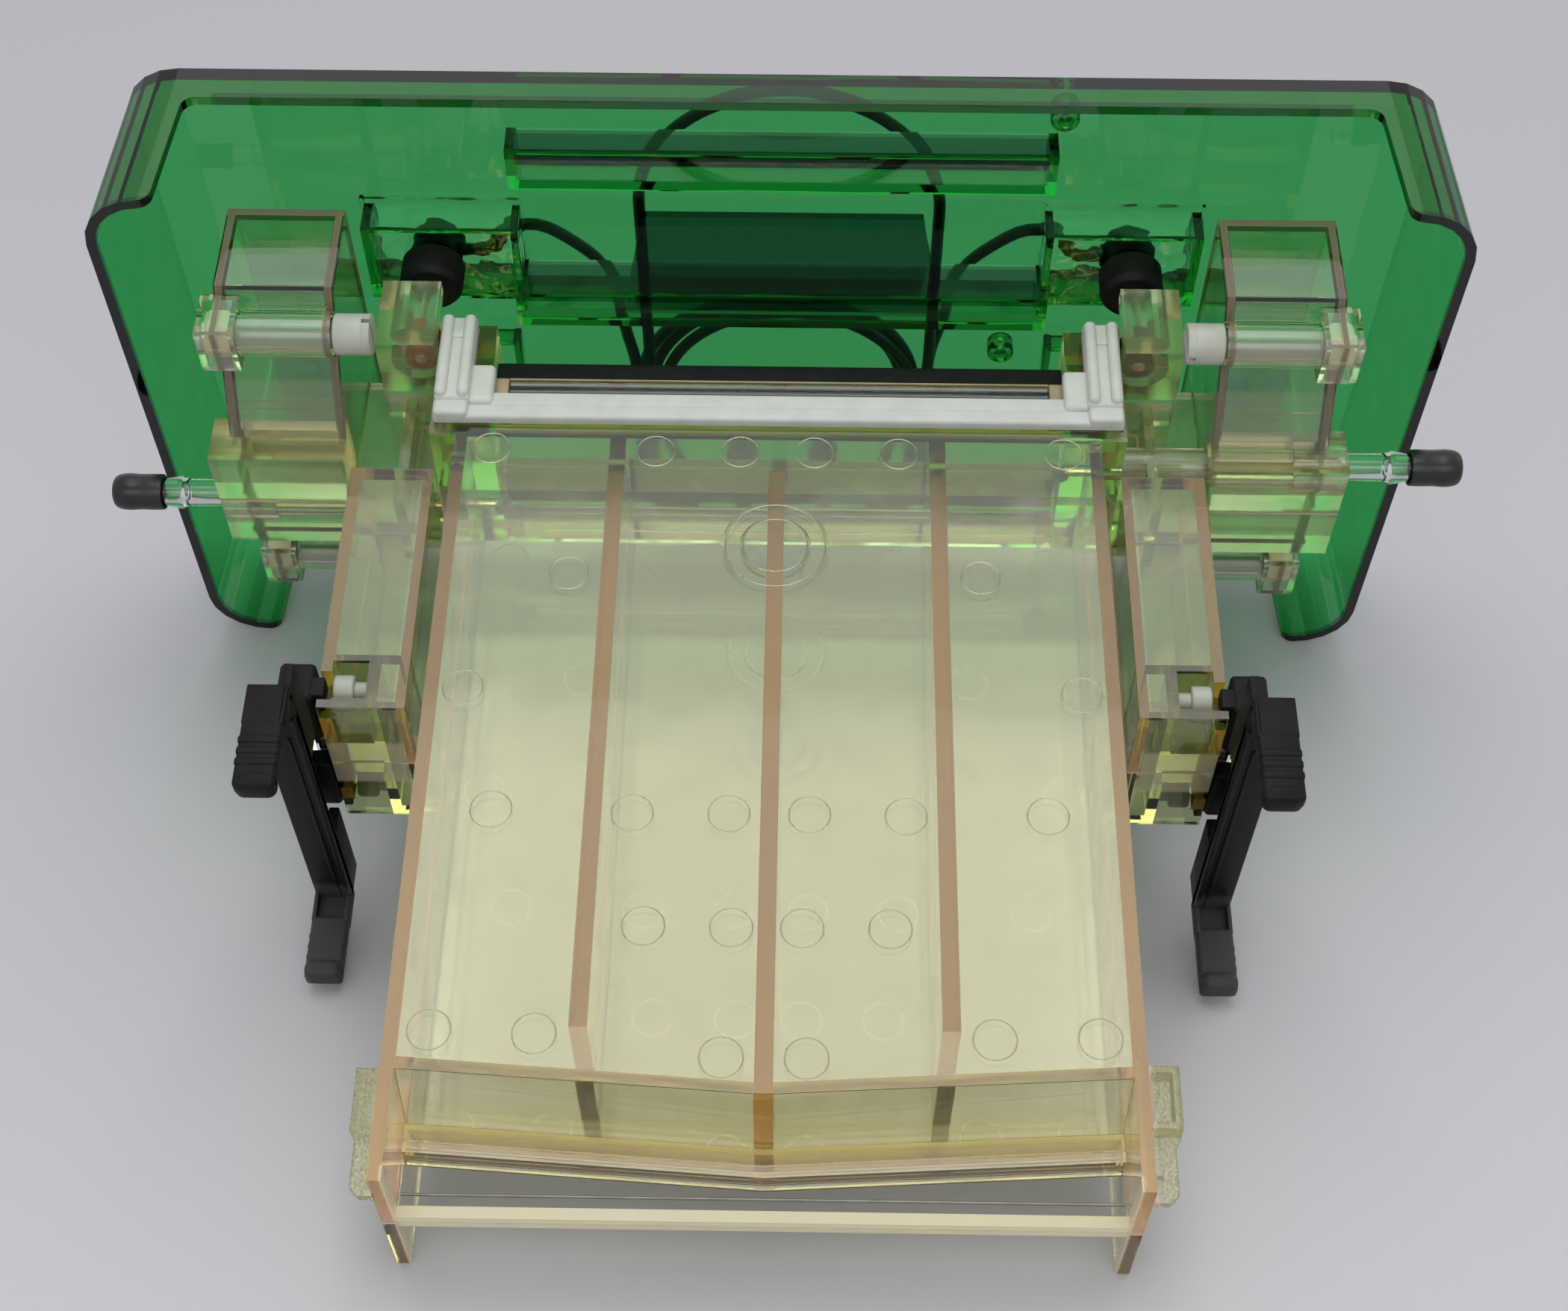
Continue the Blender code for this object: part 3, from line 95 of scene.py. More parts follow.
camera.data.sensor_width = SENSOR_WIDTH
camera.data.lens = SENSOR_WIDTH * FOCAL_PIXELS / PICTURE_WIDTH
camera.data.clip_start = 0.01
bpy.context.scene.camera = camera
print("lens in millimetres:", round(camera.data.lens, 2), "camera at", np.round(turn[:3, 3], 3))

# %% [markdown]
# ## Shader values as formulas
# A finish mixes many small patterns, and a tree of Math nodes is hard to read. One small class wraps a
# socket so that Python's own operators add the nodes, and one method makes every other kind of node. A
# mask is such a value that is 1 in one region of the part and 0 outside it, with a soft border.


# %% A class for shader formulas
class Value:
    """One shader output; arithmetic on it adds Math nodes to its finish."""

    def __init__(self, finish, socket):
        self.finish = finish
        self.socket = socket

    def maths(self, operation, *others):
        """One Math node on this value and the others."""
        settings = {"operation": operation}
        return self.finish.node("Math", settings, dict(enumerate((self, *others))))

    def __add__(self, other):
        return self.maths("ADD", other)

    def __sub__(self, other):
        return self.maths("SUBTRACT", other)

    def __mul__(self, other):
        return self.maths("MULTIPLY", other)

    def __rsub__(self, other):
        return self.finish.node("Math", {"operation": "SUBTRACT"}, {0: other, 1: self})

    def __abs__(self):
        return self.maths("ABSOLUTE")

    def most(self, other):
        """The larger of two values, which joins two masks."""
        return self.maths("MAXIMUM", other)

    def between(self, low, high):
        """0 below low, 1 above high and smooth in between."""
        return self.finish.node("MapRange", {"interpolation_type": "SMOOTHSTEP"},
                                {"Value": self, "From Min": low, "From Max": high})

    def above(self, edge, soft):
        """A mask of the values above an edge that is twice soft wide."""
        return self.between(edge - soft, edge + soft)

    def below(self, edge, soft):
        """A mask of the values below an edge that is twice soft wide."""
        return 1.0 - self.above(edge, soft)

    def inside(self, low, high, soft):
        """A mask of the values between two edges."""
        return self.above(low, soft) * self.below(high, soft)


class Finish:
    """A material with one Principled shader, whose constants are set on the shader itself."""

    def __init__(self, name, **constants):
        self.material = bpy.data.materials.new(name)
        self.material.use_nodes = True
        self.tree = self.material.node_tree
        self.shader = self.tree.nodes["Principled BSDF"]
        self.output = self.tree.nodes["Material Output"]
        for socket, value in constants.items():
            self.set(socket.replace("_", " "), value)

    def set(self, socket, value):
        """Feed one input of the Principled shader."""
        self.feed(self.shader.inputs[socket], value)

    def feed(self, socket, value):
        """Link a value to a socket, or set the socket to a number or a colour."""
        if isinstance(value, Value):
            self.tree.links.new(value.socket, socket)
        elif isinstance(value, tuple) and len(value) == 3 and socket.type == "RGBA":
            socket.default_value = (*value, 1.0)
        else:
            socket.default_value = value

    def node(self, kind, settings=None, sockets=None, output=0):
        """Any node: its settings first, then the values or links of its sockets; gives one output."""
        made = self.tree.nodes.new("ShaderNode" + kind)
        for name, value in (settings or {}).items():
            setattr(made, name, value)
        for name, value in (sockets or {}).items():
            self.feed(made.inputs[name], value)
        return Value(self, made.outputs[output])

    def places(self):
        """The surface point in core millimetres, as a vector and as its x, y and h."""
        point = self.node("TexCoord", output="Object")
        turned = self.node("Mapping", {"vector_type": "TEXTURE"},
                           {"Vector": point, "Location": tuple(core_origin),
                            "Rotation": (core_tilt, 0.0, 0.0), "Scale": (0.001, 0.001, 0.001)})
        return turned, *self.split(turned)

    def split(self, vector):
        """The three numbers of a vector."""
        parts = self.node("SeparateXYZ", None, {0: vector})
        return [Value(self, number) for number in parts.socket.node.outputs]

    def noise(self, point, size, detail=2.0):
        """Smooth noise from 0 to 1 whose patches are about size millimetres across."""
        return self.node("TexNoise", None, {"Vector": point, "Scale": 1.0 / size, "Detail": detail})

    def mix(self, share, first, second):
        """The first colour where share is 0 and the second where it is 1."""
        return self.node("Mix", {"data_type": "RGBA"}, {0: share, 6: first, 7: second}, 2)

    def bump(self, height, depth):
        """A normal bent by a height field in units of depth metres."""
        return self.node("Bump", None, {"Height": height, "Distance": depth, "Strength": 1.0})

    def over(self, share, colour, roughness):
        """A second, opaque surface that covers a share of the first."""
        cover = self.tree.nodes.new("ShaderNodeBsdfPrincipled")
        self.feed(cover.inputs["Base Color"], colour)
        self.feed(cover.inputs["Roughness"], roughness)
        both = self.tree.nodes.new("ShaderNodeMixShader")
        self.feed(both.inputs[0], share)
        self.tree.links.new(self.shader.outputs[0], both.inputs[1])
        self.tree.links.new(cover.outputs[0], both.inputs[2])
        self.tree.links.new(both.outputs[0], self.output.inputs["Surface"])

    def absorb(self, colour, density):
        """Light lost inside a clear solid, more along longer ways through it."""
        inside = self.tree.nodes.new("ShaderNodeVolumeAbsorption")
        inside.inputs["Color"].default_value = (*colour, 1.0)
        inside.inputs["Density"].default_value = density
        self.tree.links.new(inside.outputs[0], self.output.inputs["Volume"])


print("shader formulas ready")

# %% [markdown]
# ## Floor and light
# A pale bench under soft light. The light is set so that a colour comes out about as it is written.

# %% Floor, world and lamps
floor_finish = Finish("pale_bench", Roughness=0.75)
spot = floor_finish.node("TexCoord", output="Object")
cloth = floor_finish.noise(spot, 0.35, 3.0)
thread = floor_finish.noise(spot, 0.004, 2.0)
# The bench is painted darker towards the back: a painted falloff of the light.
floor_painted_falloff = floor_finish.split(spot)[1].between(-0.5, 0.6)
weave = floor_finish.mix(cloth * 0.8 + thread * 0.2, (0.53, 0.53, 0.55), (0.60, 0.595, 0.61))
floor_finish.set("Base Color", floor_finish.mix(floor_painted_falloff * 0.9, weave, (0.475, 0.475, 0.505)))
FLOOR_HALF, FLOOR_LINES = 9.0, 13
steps = np.linspace(-FLOOR_HALF, FLOOR_HALF, FLOOR_LINES)
floor_x, floor_y = np.meshgrid(steps, steps + 0.5)
floor_points = np.stack([floor_x, floor_y, floor_x * 0], -1).reshape(-1, 3)
cells = np.arange(FLOOR_LINES ** 2).reshape(FLOOR_LINES, FLOOR_LINES)
floor_quads = np.stack([cells[:-1, :-1], cells[:-1, 1:], cells[1:, 1:], cells[1:, :-1]], -1)
floor_mesh = bpy.data.meshes.new("bench_floor")
floor_mesh.from_pydata(floor_points.tolist(), [], floor_quads.reshape(-1, 4).tolist())
floor_mesh.materials.append(floor_finish.material)
floor = bpy.data.objects.new("bench_floor", floor_mesh)
bpy.context.scene.collection.objects.link(floor)

world = bpy.data.worlds.new("soft_room")
bpy.context.scene.world = world
world.use_nodes = True
sky = world.node_tree.nodes["Background"]
sky.inputs["Color"].default_value = (0.97, 0.98, 1.0, 1.0)
sky.inputs["Strength"].default_value = 0.69


def lamp(name, place, aim, size, watts):
    """A soft lamp of a width and a depth at place, facing aim."""
    light = bpy.data.lights.new(name, "AREA")
    light.shape = "RECTANGLE"
    light.size, light.size_y = size
    light.energy = watts
    holder = bpy.data.objects.new(name, light)
    bpy.context.scene.collection.objects.link(holder)
    back = np.array(place) - np.array(aim)
    back = back / np.linalg.norm(back)
    side = np.cross([0.0, 1.0, 0.1], back)
    side = side / np.linalg.norm(side)
    frame_rows = np.eye(4)
    frame_rows[:3, :3] = np.array([side, np.cross(back, side), back]).T
    frame_rows[:3, 3] = place
    holder.matrix_world = Matrix(frame_rows.tolist())


lamp("ceiling_panel", (-0.02, -0.165, 1.9), (-0.02, -0.165, 0.0), (1.1, 1.13), 8.4)
lamp("ceiling_edge", (0.0, 0.51, 1.9), (0.0, 0.51, 0.0), (1.3, 0.22), 1.4)
lamp("ceiling_rear", (0.0, 0.97, 1.9), (0.0, 0.97, 0.0), (1.5, 0.70), 2.4)
lamp("front_fill", (0.0, -1.35, 0.95), (0.0, 0.1, 0.0), (1.6, 0.8), 5.5)
lamp("window_side", (1.6, 0.6, 1.3), (0.0, 0.0, 0.1), (0.9, 0.9), 1.5)
bpy.context.scene.view_settings.view_transform = "Standard"
bpy.context.scene.cycles.max_bounces = 18
bpy.context.scene.cycles.transmission_bounces = 24
bpy.context.scene.cycles.transparent_max_bounces = 24
print("stage and lamps set")

# %% [markdown]
# ## The clear finishes
# The core is a yellowish clear plastic and the lid a green one. Clear plastic takes most of its colour
# from the way light travels inside it, so thin walls look pale and long edges look dark. An absorbing
# volume does most of that. Two things come on top. Where the halves are bonded, the glue scatters light,
# so an opaque tan covers most of those faces, and thinner covers haze the near bar, the feet of the posts
# and the jack cups and darken the ends of the ear walls. And light that has crossed many walls comes out
# too dark or too pale here, so some regions get a tint of their own, set by comparing with the photograph:
# the panel's faces, gate and far end, the side tabs, the posts, the ear boxes, the near end, and the
# hollows, ledges and rim of the lid. Among these, the panel's far end carries a painted green shade of the
# lid, the ledge tops of the lid a painted shade, and the walls of the lid's hollows a painted light that
# makes them nearly colourless.

# %% Regions of the amber core
GATE_SPOT = (0.7, 157.9)
CLEAR_INDEX = 1.46
WHITE = (1.0, 1.0, 1.0)

amber = Finish("amber_plastic", Transmission_Weight=1.0, IOR=1.6)
point, px, py, ph = amber.places()
aside, depth = abs(px), abs(ph)
mirrored = amber.node("CombineXYZ", None, {0: aside, 1: py})
gate = amber.node("VectorMath", {"operation": "DISTANCE"}, {0: mirrored, 1: (*GATE_SPOT, 0.0)}, "Value")
on_panel = depth.above(27.75, 0.15)
on_faces = on_panel * aside.below(99.5, 0.5)
far_end_painted_shade = on_faces * py.between(155.0, 195.0)
gate_ring = gate.above(8.95, 0.25) + gate.above(14.0, 0.3) * 0.6
gate_disc = gate.below(8.75, 0.15) * on_panel
post_side = aside.inside(101.0, 122.5, 0.5) * py.inside(97.0, 185.0, 1.0)
post_inside = aside.inside(105.5, 118.0, 0.5)
post_foot = post_side * depth.below(10.0, 1.0) * py.below(121.0, 1.0)
near_end = py.below(-2.0, 2.0) * aside.below(90.0, 0.5)
near_bar = near_end * py.below(-25.0, 0.2)
tabs = aside.above(97.5, 0.5) * py.below(41.0, 1.0)
bonded = depth.below(0.3, 0.1) * py.below(194.5, 1.5) * (1.0 - aside.above(97.0, 0.2) * py.below(61.0, 1.0))
bonded = bonded * (1.0 - near_end * 0.8) * (1.0 - post_inside * 0.8)
ear = aside.above(125.7, 0.2)
ear_box = ear * py.above(209.0, 0.5)
side_ends = aside.inside(126.65, 128.35, 0.25).most(aside.inside(157.65, 159.35, 0.25))
wall_ends = side_ends.most(py.above(249.65, 0.25)) * ear * py.above(197.75, 0.75)
hazy = aside.above(94.75, 0.75) * py.above(186.25, 0.75) * (1.0 - ear_box)
print("amber regions ready, nodes:", len(amber.tree.nodes))

# %% Amber plastic of the core
waves = amber.noise(point, 26.0, 1.0)
scuffs = amber.noise(point, 9.0, 4.0)
pebbles = amber.noise(point, 0.9, 1.0)
height = gate_ring * on_panel * 0.16 + waves * 0.12 + pebbles * tabs * 0.5
amber.set("Normal", amber.bump(height, 0.001))
rough = scuffs.between(0.45, 0.8) * 0.10 + tabs * 0.25 + hazy * 0.10 + near_bar * 0.25 + 0.03
amber.set("Roughness", rough)
tint = amber.mix(scuffs * 0.5, WHITE, (0.95, 0.95, 0.93))
tint = amber.mix(on_faces.most(tabs), tint, (0.985, 0.975, 0.69))
tint = amber.mix(gate_disc * 0.8, tint, (0.75, 0.8, 0.64))
# The far end of the panel faces is painted darker and greener: a painted shade of the green lid.
tint = amber.mix(far_end_painted_shade, tint, (0.42, 0.64, 0.38))
tint = amber.mix(near_end, tint, (1.0, 0.98, 0.80))
tint = amber.mix(post_side, tint, (0.73, 0.80, 0.52))
tint = amber.mix(ear_box, tint, (0.75, 0.99, 0.82))
amber.set("Base Color", tint)
cover_tint = amber.mix(hazy.most(post_foot), (1.0, 0.61, 0.46), (0.62, 0.56, 0.38))
cover_tint = amber.mix(near_bar, cover_tint, (0.95, 0.86, 0.62))
cover_tint = amber.mix(wall_ends, cover_tint, (0.20, 0.17, 0.10))
covered = (bonded * 0.95).most(post_foot * 0.5).most(wall_ends * 0.6).most(hazy * 0.10).most(near_bar * 0.5)
amber.over(covered, cover_tint, 0.5)
amber.absorb((0.97, 0.90, 0.12), 30.0)
print("amber plastic ready, nodes:", len(amber.tree.nodes))

# %% Green plastic of the lid
green = Finish("green_plastic", Transmission_Weight=1.0, IOR=CLEAR_INDEX)
point, px, py, ph = green.places()
aside = abs(px)
scuffs = green.noise(point, 7.0, 4.0)
boxes = aside.below(81.25, 0.75) * py.below(273.3, 0.3)
box_tops = ph.below(75.5, 0.5)
hollows_painted_light = boxes * ph.above(1.5, 0.5) * box_tops
ledges_painted_shade = (ph.above(70.0, 0.2) * box_tops).most(ph.above(15.0, 0.2) * ph.below(20.5, 0.5)) * boxes
top_edge = ph.above(87.9, 0.2) * py.below(267.2, 0.2) * aside.below(161.0, 1.0)
rim = py.below(226.5, 0.3).most(top_edge)
tint = green.mix(scuffs, (0.155, 0.645, 0.27), (0.175, 0.655, 0.29))
# The front and bottom walls of the lid's boxes are painted nearly colourless: painted light that brightens
# them.
tint = green.mix(hollows_painted_light, tint, (0.97, 1.0, 0.98))
# The top faces of the lid's boxes are painted near-black green: a painted shade of the dark groove seen
# through them.
tint = green.mix(ledges_painted_shade, tint, (0.05, 0.16, 0.085))
tint = green.mix(rim, tint, (0.05, 0.13, 0.08))
green.set("Base Color", tint)
green.set("Roughness", scuffs.between(0.5, 0.85) * 0.10 + 0.02)
housing = aside.inside(78.75, 126.75, 0.75) * ph.inside(10.0, 44.0, 1.0) * py.above(256.5, 1.5)
ripples = green.noise(point, 9.0, 1.0) * housing * 4.0 + green.noise(point, 30.0, 1.0)
green.set("Normal", green.bump(ripples, 0.00035))
green.absorb((0.0, 0.73, 0.26), 250.0)
print("green plastic ready, nodes:", len(green.tree.nodes))


# %% Deep green plate and clear fittings
def plain_clear(name, size, first, second, grain, rough):
    """A clear plastic with two near tints in patches of a size, and roughness from a noise of a grain."""
    made = Finish(name, Transmission_Weight=1.0, IOR=CLEAR_INDEX)
    point = made.places()[0]
    made.set("Base Color", made.mix(made.noise(point, size), first, second))
    made.set("Roughness", made.noise(point, grain, 3.0) * 0.12 + rough)
    return made


deep_green = plain_clear("deep_green_plastic", 8.0, (0.31, 0.41, 0.42), (0.37, 0.47, 0.48), 5.0, 0.05)
deep_green.absorb((0.40, 0.47, 0.54), 450.0)
clear = plain_clear("clear_plastic", 4.0, (0.95, 0.97, 0.95), WHITE, 3.0, 0.02)
clear.absorb((0.8, 0.82, 0.7), 20.0)
ridged = plain_clear("ridged_strip", 4.0, (0.40, 0.46, 0.46), (0.46, 0.52, 0.52), 3.0, 0.02)
ridged.absorb((0.8, 0.82, 0.7), 20.0)
print("clear finishes: amber, green, deep green, clear, ridged")

# %% [markdown]
# ## The opaque finishes
# White silicone, white and cream nylon, black moulded plastic, soft black vinyl, red plastic, the jacket
# of the leads and three metals. Each gets its own grain, small colour changes and a little dirt in its
# roughness.


# %% One recipe for the opaque finishes
PATCH_SIZE = 6.0
FEET_TOP, FEET_FAR = -46.0, 130.0


def opaque(name, dark, pale, rough, grain, depth, metal=0.0, feet_dust_and_sheen=None):
    """Two near colours mixed by a cloudy noise, roughness from a finer one, and a bump from the grain. The
    lower ends of the levers, just above the bench, may get a paler colour of their own, partly dust and
    partly a painted sheen."""
    made = Finish(name, Metallic=metal)
    point, *place = made.places()
    cloud = made.noise(point, PATCH_SIZE, 4.0)
    fine = made.noise(point, grain, 3.0)
    tint = made.mix(cloud.between(0.3, 0.7), dark, pale)
    if feet_dust_and_sheen:
        py, ph = place[1:]
        # The lower ends of the levers are painted paler: partly dust, partly a painted sheen where they catch
        # the light.
        tint = made.mix(ph.below(FEET_TOP, 2.0) * py.below(FEET_FAR, 5.0), tint, feet_dust_and_sheen)
    made.set("Base Color", tint)
    made.set("Roughness", (fine - 0.5) * 0.18 + cloud * 0.12 + rough)
    made.set("Normal", made.bump(fine, depth))
    return made


silicone = opaque("white_silicone", (0.53, 0.55, 0.50), (0.58, 0.60, 0.55), 0.5, 0.5, 0.000008)
silicone.set("Subsurface Weight", 0.15)
silicone.set("Subsurface Radius", (0.004, 0.004, 0.003))
nylon = opaque("white_nylon", (0.38, 0.40, 0.335), (0.44, 0.46, 0.39), 0.36, 0.8, 0.00001)
nylon.set("Subsurface Weight", 0.2)
nylon.set("Subsurface Radius", (0.004, 0.004, 0.003))
cream = opaque("cream_nylon", (0.82, 0.79, 0.42), (0.90, 0.86, 0.50), 0.35, 0.8, 0.00001)
black = opaque("black_plastic", (0.006, 0.006, 0.0057), (0.010, 0.010, 0.0095), 0.42, 0.28, 0.00002,
               feet_dust_and_sheen=(0.05, 0.05, 0.049))
black.set("Specular IOR Level", 0.14)
vinyl = opaque("black_vinyl", (0.005, 0.005, 0.005), (0.009, 0.009, 0.009), 0.24, 1.6, 0.00006)
red = opaque("red_plastic", (0.30, 0.03, 0.012), (0.42, 0.05, 0.02), 0.3, 0.4, 0.00002)
steel = opaque("steel_pin", (0.45, 0.45, 0.44), (0.60, 0.60, 0.59), 0.22, 0.3, 0.00001, metal=1.0)
plated = opaque("plated_pin", (0.60, 0.53, 0.34), (0.72, 0.65, 0.44), 0.2, 0.3, 0.00001, metal=1.0)
platinum = opaque("platinum_wire", (0.26, 0.25, 0.23), (0.34, 0.33, 0.30), 0.45, 0.3, 0.00001, metal=1.0)
jacket = opaque("lead_jacket", (0.010, 0.010, 0.011), (0.018, 0.018, 0.019), 0.38, 0.5, 0.00003)
FINISHES = {"amber": amber, "green": green, "clear": clear, "silicone": silicone, "nylon": nylon,
            "cream": cream, "black": black, "vinyl": vinyl, "red": red, "steel": steel, "plated": plated,
            "platinum": platinum, "cord": jacket}
node_slots = {row["node"]: row["material_slot"] for row in frame["record"]["subparts"]}
for node_name, solid in frame["nodes"].items():
    solid.data.materials.clear()
    solid.data.materials.append(FINISHES[node_slots[node_name]].material)
frame["nodes"]["lead_channel_cover"].data.materials[0] = deep_green.material
for node_name in ("front_core_half", "rear_core_half", "lid_shell"):
    soft = frame["nodes"][node_name].modifiers.new("soft_edges", "BEVEL")
    soft.width = 0.0005
    soft.segments = 2
    soft.limit_method = "ANGLE"
    soft.angle_limit = math.radians(35.0)
print("finishes:", len(FINISHES), "on", len(node_slots), "solids")

# %% [markdown]
# ## Surfaces from formulas
# The fittings are turned, blocked or cut to an outline, so three small functions make nearly all of them.
# Each one works out a whole grid of points at once. A mesh could also be modelled by hand, but a formula
# keeps every size in sight and rounds every corner alike.


# %% Grid surfaces
def softened(points, radius, steps=4, closed=False):
    """Round a line's corners: each corner becomes a curve (1-t)^2 a + 2t(1-t) corner + t^2 b, where a and b
    lie radius before and after it, or half the way to the next corner."""
    corner = np.asarray(points, float)
    before = np.roll(corner, 1, 0) - corner
    after = np.roll(corner, -1, 0) - corner
    reach = np.broadcast_to(np.asarray(radius, float), (len(corner),)).copy()
    if not closed:
        reach[[0, -1]] = 0.0
    length_before = np.maximum(np.linalg.norm(before, axis=1), 1e-9)
    length_after = np.maximum(np.linalg.norm(after, axis=1), 1e-9)
    first = corner + before * (np.minimum(reach, length_before / 2) / length_before)[:, None]
    last = corner + after * (np.minimum(reach, length_after / 2) / length_after)[:, None]
    t = np.linspace(0.0, 1.0, steps + 1)[None, :, None]
    curve = (1 - t) ** 2 * first[:, None] + 2 * t * (1 - t) * corner[:, None] + t ** 2 * last[:, None]
    return curve.reshape(-1, curve.shape[-1])


def skin(grid, around=True, lengthways=False):
    """Points and quads of a grid; around joins its last column to the first, lengthways its last row."""
    rows, columns = grid.shape[:2]
    index = np.arange(rows * columns).reshape(rows, columns)
    if around:
        index = np.concatenate([index, index[:, :1]], 1)
    if lengthways:
        index = np.concatenate([index, index[:1]], 0)
    quads = np.stack([index[:-1, :-1], index[:-1, 1:], index[1:, 1:], index[1:, :-1]], -1).reshape(-1, 4)
    return grid.reshape(-1, 3), quads.tolist()


AXES = {"x": ((1, 0, 0), (0, 1, 0), (0, 0, 1)), "y": ((0, 1, 0), (0, 0, 1), (1, 0, 0)),
        "h": ((0, 0, 1), (1, 0, 0), (0, 1, 0))}


def turned(profile, axis, spot, sides=40, rounding=0.0, ring=False):
    """A profile of (along, radius) spun about an axis: spot + along * axis + radius * (cos a, sin a)."""
    line = softened(profile, rounding, 4, ring) if rounding else np.asarray(profile, float)
    way, side, third = (np.array(v, float) for v in AXES[axis])
    angle = np.linspace(0.0, 2 * math.pi, sides, endpoint=False)
    spoke = np.cos(angle)[:, None] * side + np.sin(angle)[:, None] * third
    grid = np.asarray(spot, float) + line[:, :1, None] * way + line[:, 1:, None] * spoke[None]
    return skin(grid, True, ring)


def block(low, high, radius, steps=3):
    """A box with round edges: a sphere of the edge radius, its eight parts moved out to the box's corners."""
    low, high = np.minimum(low, high).astype(float), np.maximum(low, high).astype(float)
    radius = min(radius, float((high - low).min()) / 2 * 0.98)
    quarter = np.linspace(0.0, math.pi / 2, steps + 1)
    around = (np.arange(4)[:, None] * math.pi / 2 + quarter).ravel()
    sign_x = np.repeat([1, -1, -1, 1], steps + 1)
    sign_y = np.repeat([1, 1, -1, -1], steps + 1)
    rise = np.concatenate([quarter - math.pi / 2, quarter])
    sign_z = np.repeat([-1, 1], steps + 1)
    ball = np.stack([np.cos(rise)[:, None] * np.cos(around), np.cos(rise)[:, None] * np.sin(around),
                     np.sin(rise)[:, None] * np.ones_like(around)], -1)
    signs = np.stack(np.broadcast_arrays(sign_x[None], sign_y[None], sign_z[:, None]), -1)
    grid = (low + high) / 2 + signs * ((high - low) / 2 - radius) + radius * ball
    points, faces = skin(grid)
    corners = np.arange(4) * (steps + 1)
    last = (len(rise) - 1) * len(around)
    return points, faces + [corners[::-1].tolist(), (corners + last).tolist()]


def slab(outline, low, high, edge, order="yhx", steps=3):
    """An outline pushed along a third axis from low to high, whose rim is a quarter circle of radius edge:
    near each end the outline moves in along its own normals by edge * (1 - cos a)."""
    line = np.asarray(outline, float)
    ahead = np.roll(line, -1, 0) - line
    ahead /= np.maximum(np.linalg.norm(ahead, axis=1), 1e-9)[:, None]
    normal = np.stack([ahead[:, 1], -ahead[:, 0]], 1)
    normal = normal + np.roll(normal, 1, 0)
    normal /= np.maximum(np.linalg.norm(normal, axis=1), 1e-9)[:, None]
    area = np.sum(line[:, 0] * np.roll(line[:, 1], -1) - line[:, 1] * np.roll(line[:, 0], -1))
    normal *= np.sign(area)
    angle = np.linspace(0.0, math.pi / 2, steps + 1)
    inward = edge * np.concatenate([1 - np.sin(angle), 1 - np.sin(angle[::-1])])
    along = np.concatenate([low + edge * (1 - np.cos(angle)), high - edge * (1 - np.cos(angle[::-1]))])
    flat = line[None] - normal[None] * inward[:, None, None]
    grid = np.empty((len(along), len(line), 3))
    grid[:, :, "xyh".index(order[0])] = flat[:, :, 0]
    grid[:, :, "xyh".index(order[1])] = flat[:, :, 1]
    grid[:, :, "xyh".index(order[2])] = along[:, None]
    points, faces = skin(grid)
    ring = np.arange(len(line))
    return points, faces + [ring[::-1].tolist(), (ring + (len(along) - 1) * len(line)).tolist()]


REAR = (-1, 1, -1)


def shift(shape, flip):
    """The same shape with each coordinate times flip: REAR gives half a turn about the core's long axis."""
    return shape[0] * np.array(flip, float), shape[1]


def make(name, shapes, body, slot, *stands_for, sharp=40.0, finish=None):
    """One mesh from several closed shapes in core millimetres, with doubles merged and normals outwards."""
    starts = np.cumsum([0] + [len(points) for points, faces in shapes])
    points = bench(np.concatenate([points for points, faces in shapes]))
    faces = [(np.array(face) + start).tolist() for start, shape in zip(starts, shapes) for face in shape[1]]
    mesh = bpy.data.meshes.new(name)
    mesh.from_pydata(points.tolist(), [], faces)
    work = bmesh.new()
    work.from_mesh(mesh)
    bmesh.ops.remove_doubles(work, verts=work.verts, dist=2e-6)
    bmesh.ops.dissolve_degenerate(work, edges=work.edges, dist=1e-6)
    bmesh.ops.recalc_face_normals(work, faces=work.faces)
    work.to_mesh(mesh)
    work.free()
    mesh.shade_smooth()
    mesh.set_sharp_from_angle(angle=math.radians(sharp))
    mesh.materials.append((finish or FINISHES[slot]).material)
    thing = bpy.data.objects.new(name, mesh)
    bpy.context.scene.collection.objects.link(thing)
    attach(thing, body)
    if stands_for:
        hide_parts(*stands_for)
    return thing


print("shape functions ready")

# %% [markdown]
# ## The leads
# Two black leads leave the plug boots in the lid, cross its back and are wound together into a hank that
# leans on it. Each is one smooth line of its real length: the way out of the boot, two turns of the hank
# a lead's width apart and the end that hooks up into its plug. One turn stands taller than the rest,
# which is the arch seen through the lid. The two leads lie in two layers, so they never pass through each
# other.

# %% Route and wind the leads
LEAD_RADIUS = 1.9
HANK_HALF, HANK_LOW = 50.0, -133.0
HANK_LAYERS = {-1: 282.25, 1: 286.35}
LEAD_STEP = 4.2
HANK_TOPS = {-1: (85.0, -4.0), 1: (-4.0, -4.0)}
HANK_MIDDLE = 284.3
STRAND_INSET = 2.1
PLUG_X, PLUG_FOOT = 14.0, -108.0
ROUTE = ((96.9, 270.8, 27.0), (92.9, 270.8, 27.0), (88.9, 270.8, 27.0), (86.5, 275.0, 27.0),
         (82.5, 281.0, 26.6), (75.5, 283.8, 24.5), (68.2, HANK_MIDDLE, 19.5), (58.2, HANK_MIDDLE, 9.0),
         (53.0, HANK_MIDDLE, -4.0), (52.2, HANK_MIDDLE, -12.0))


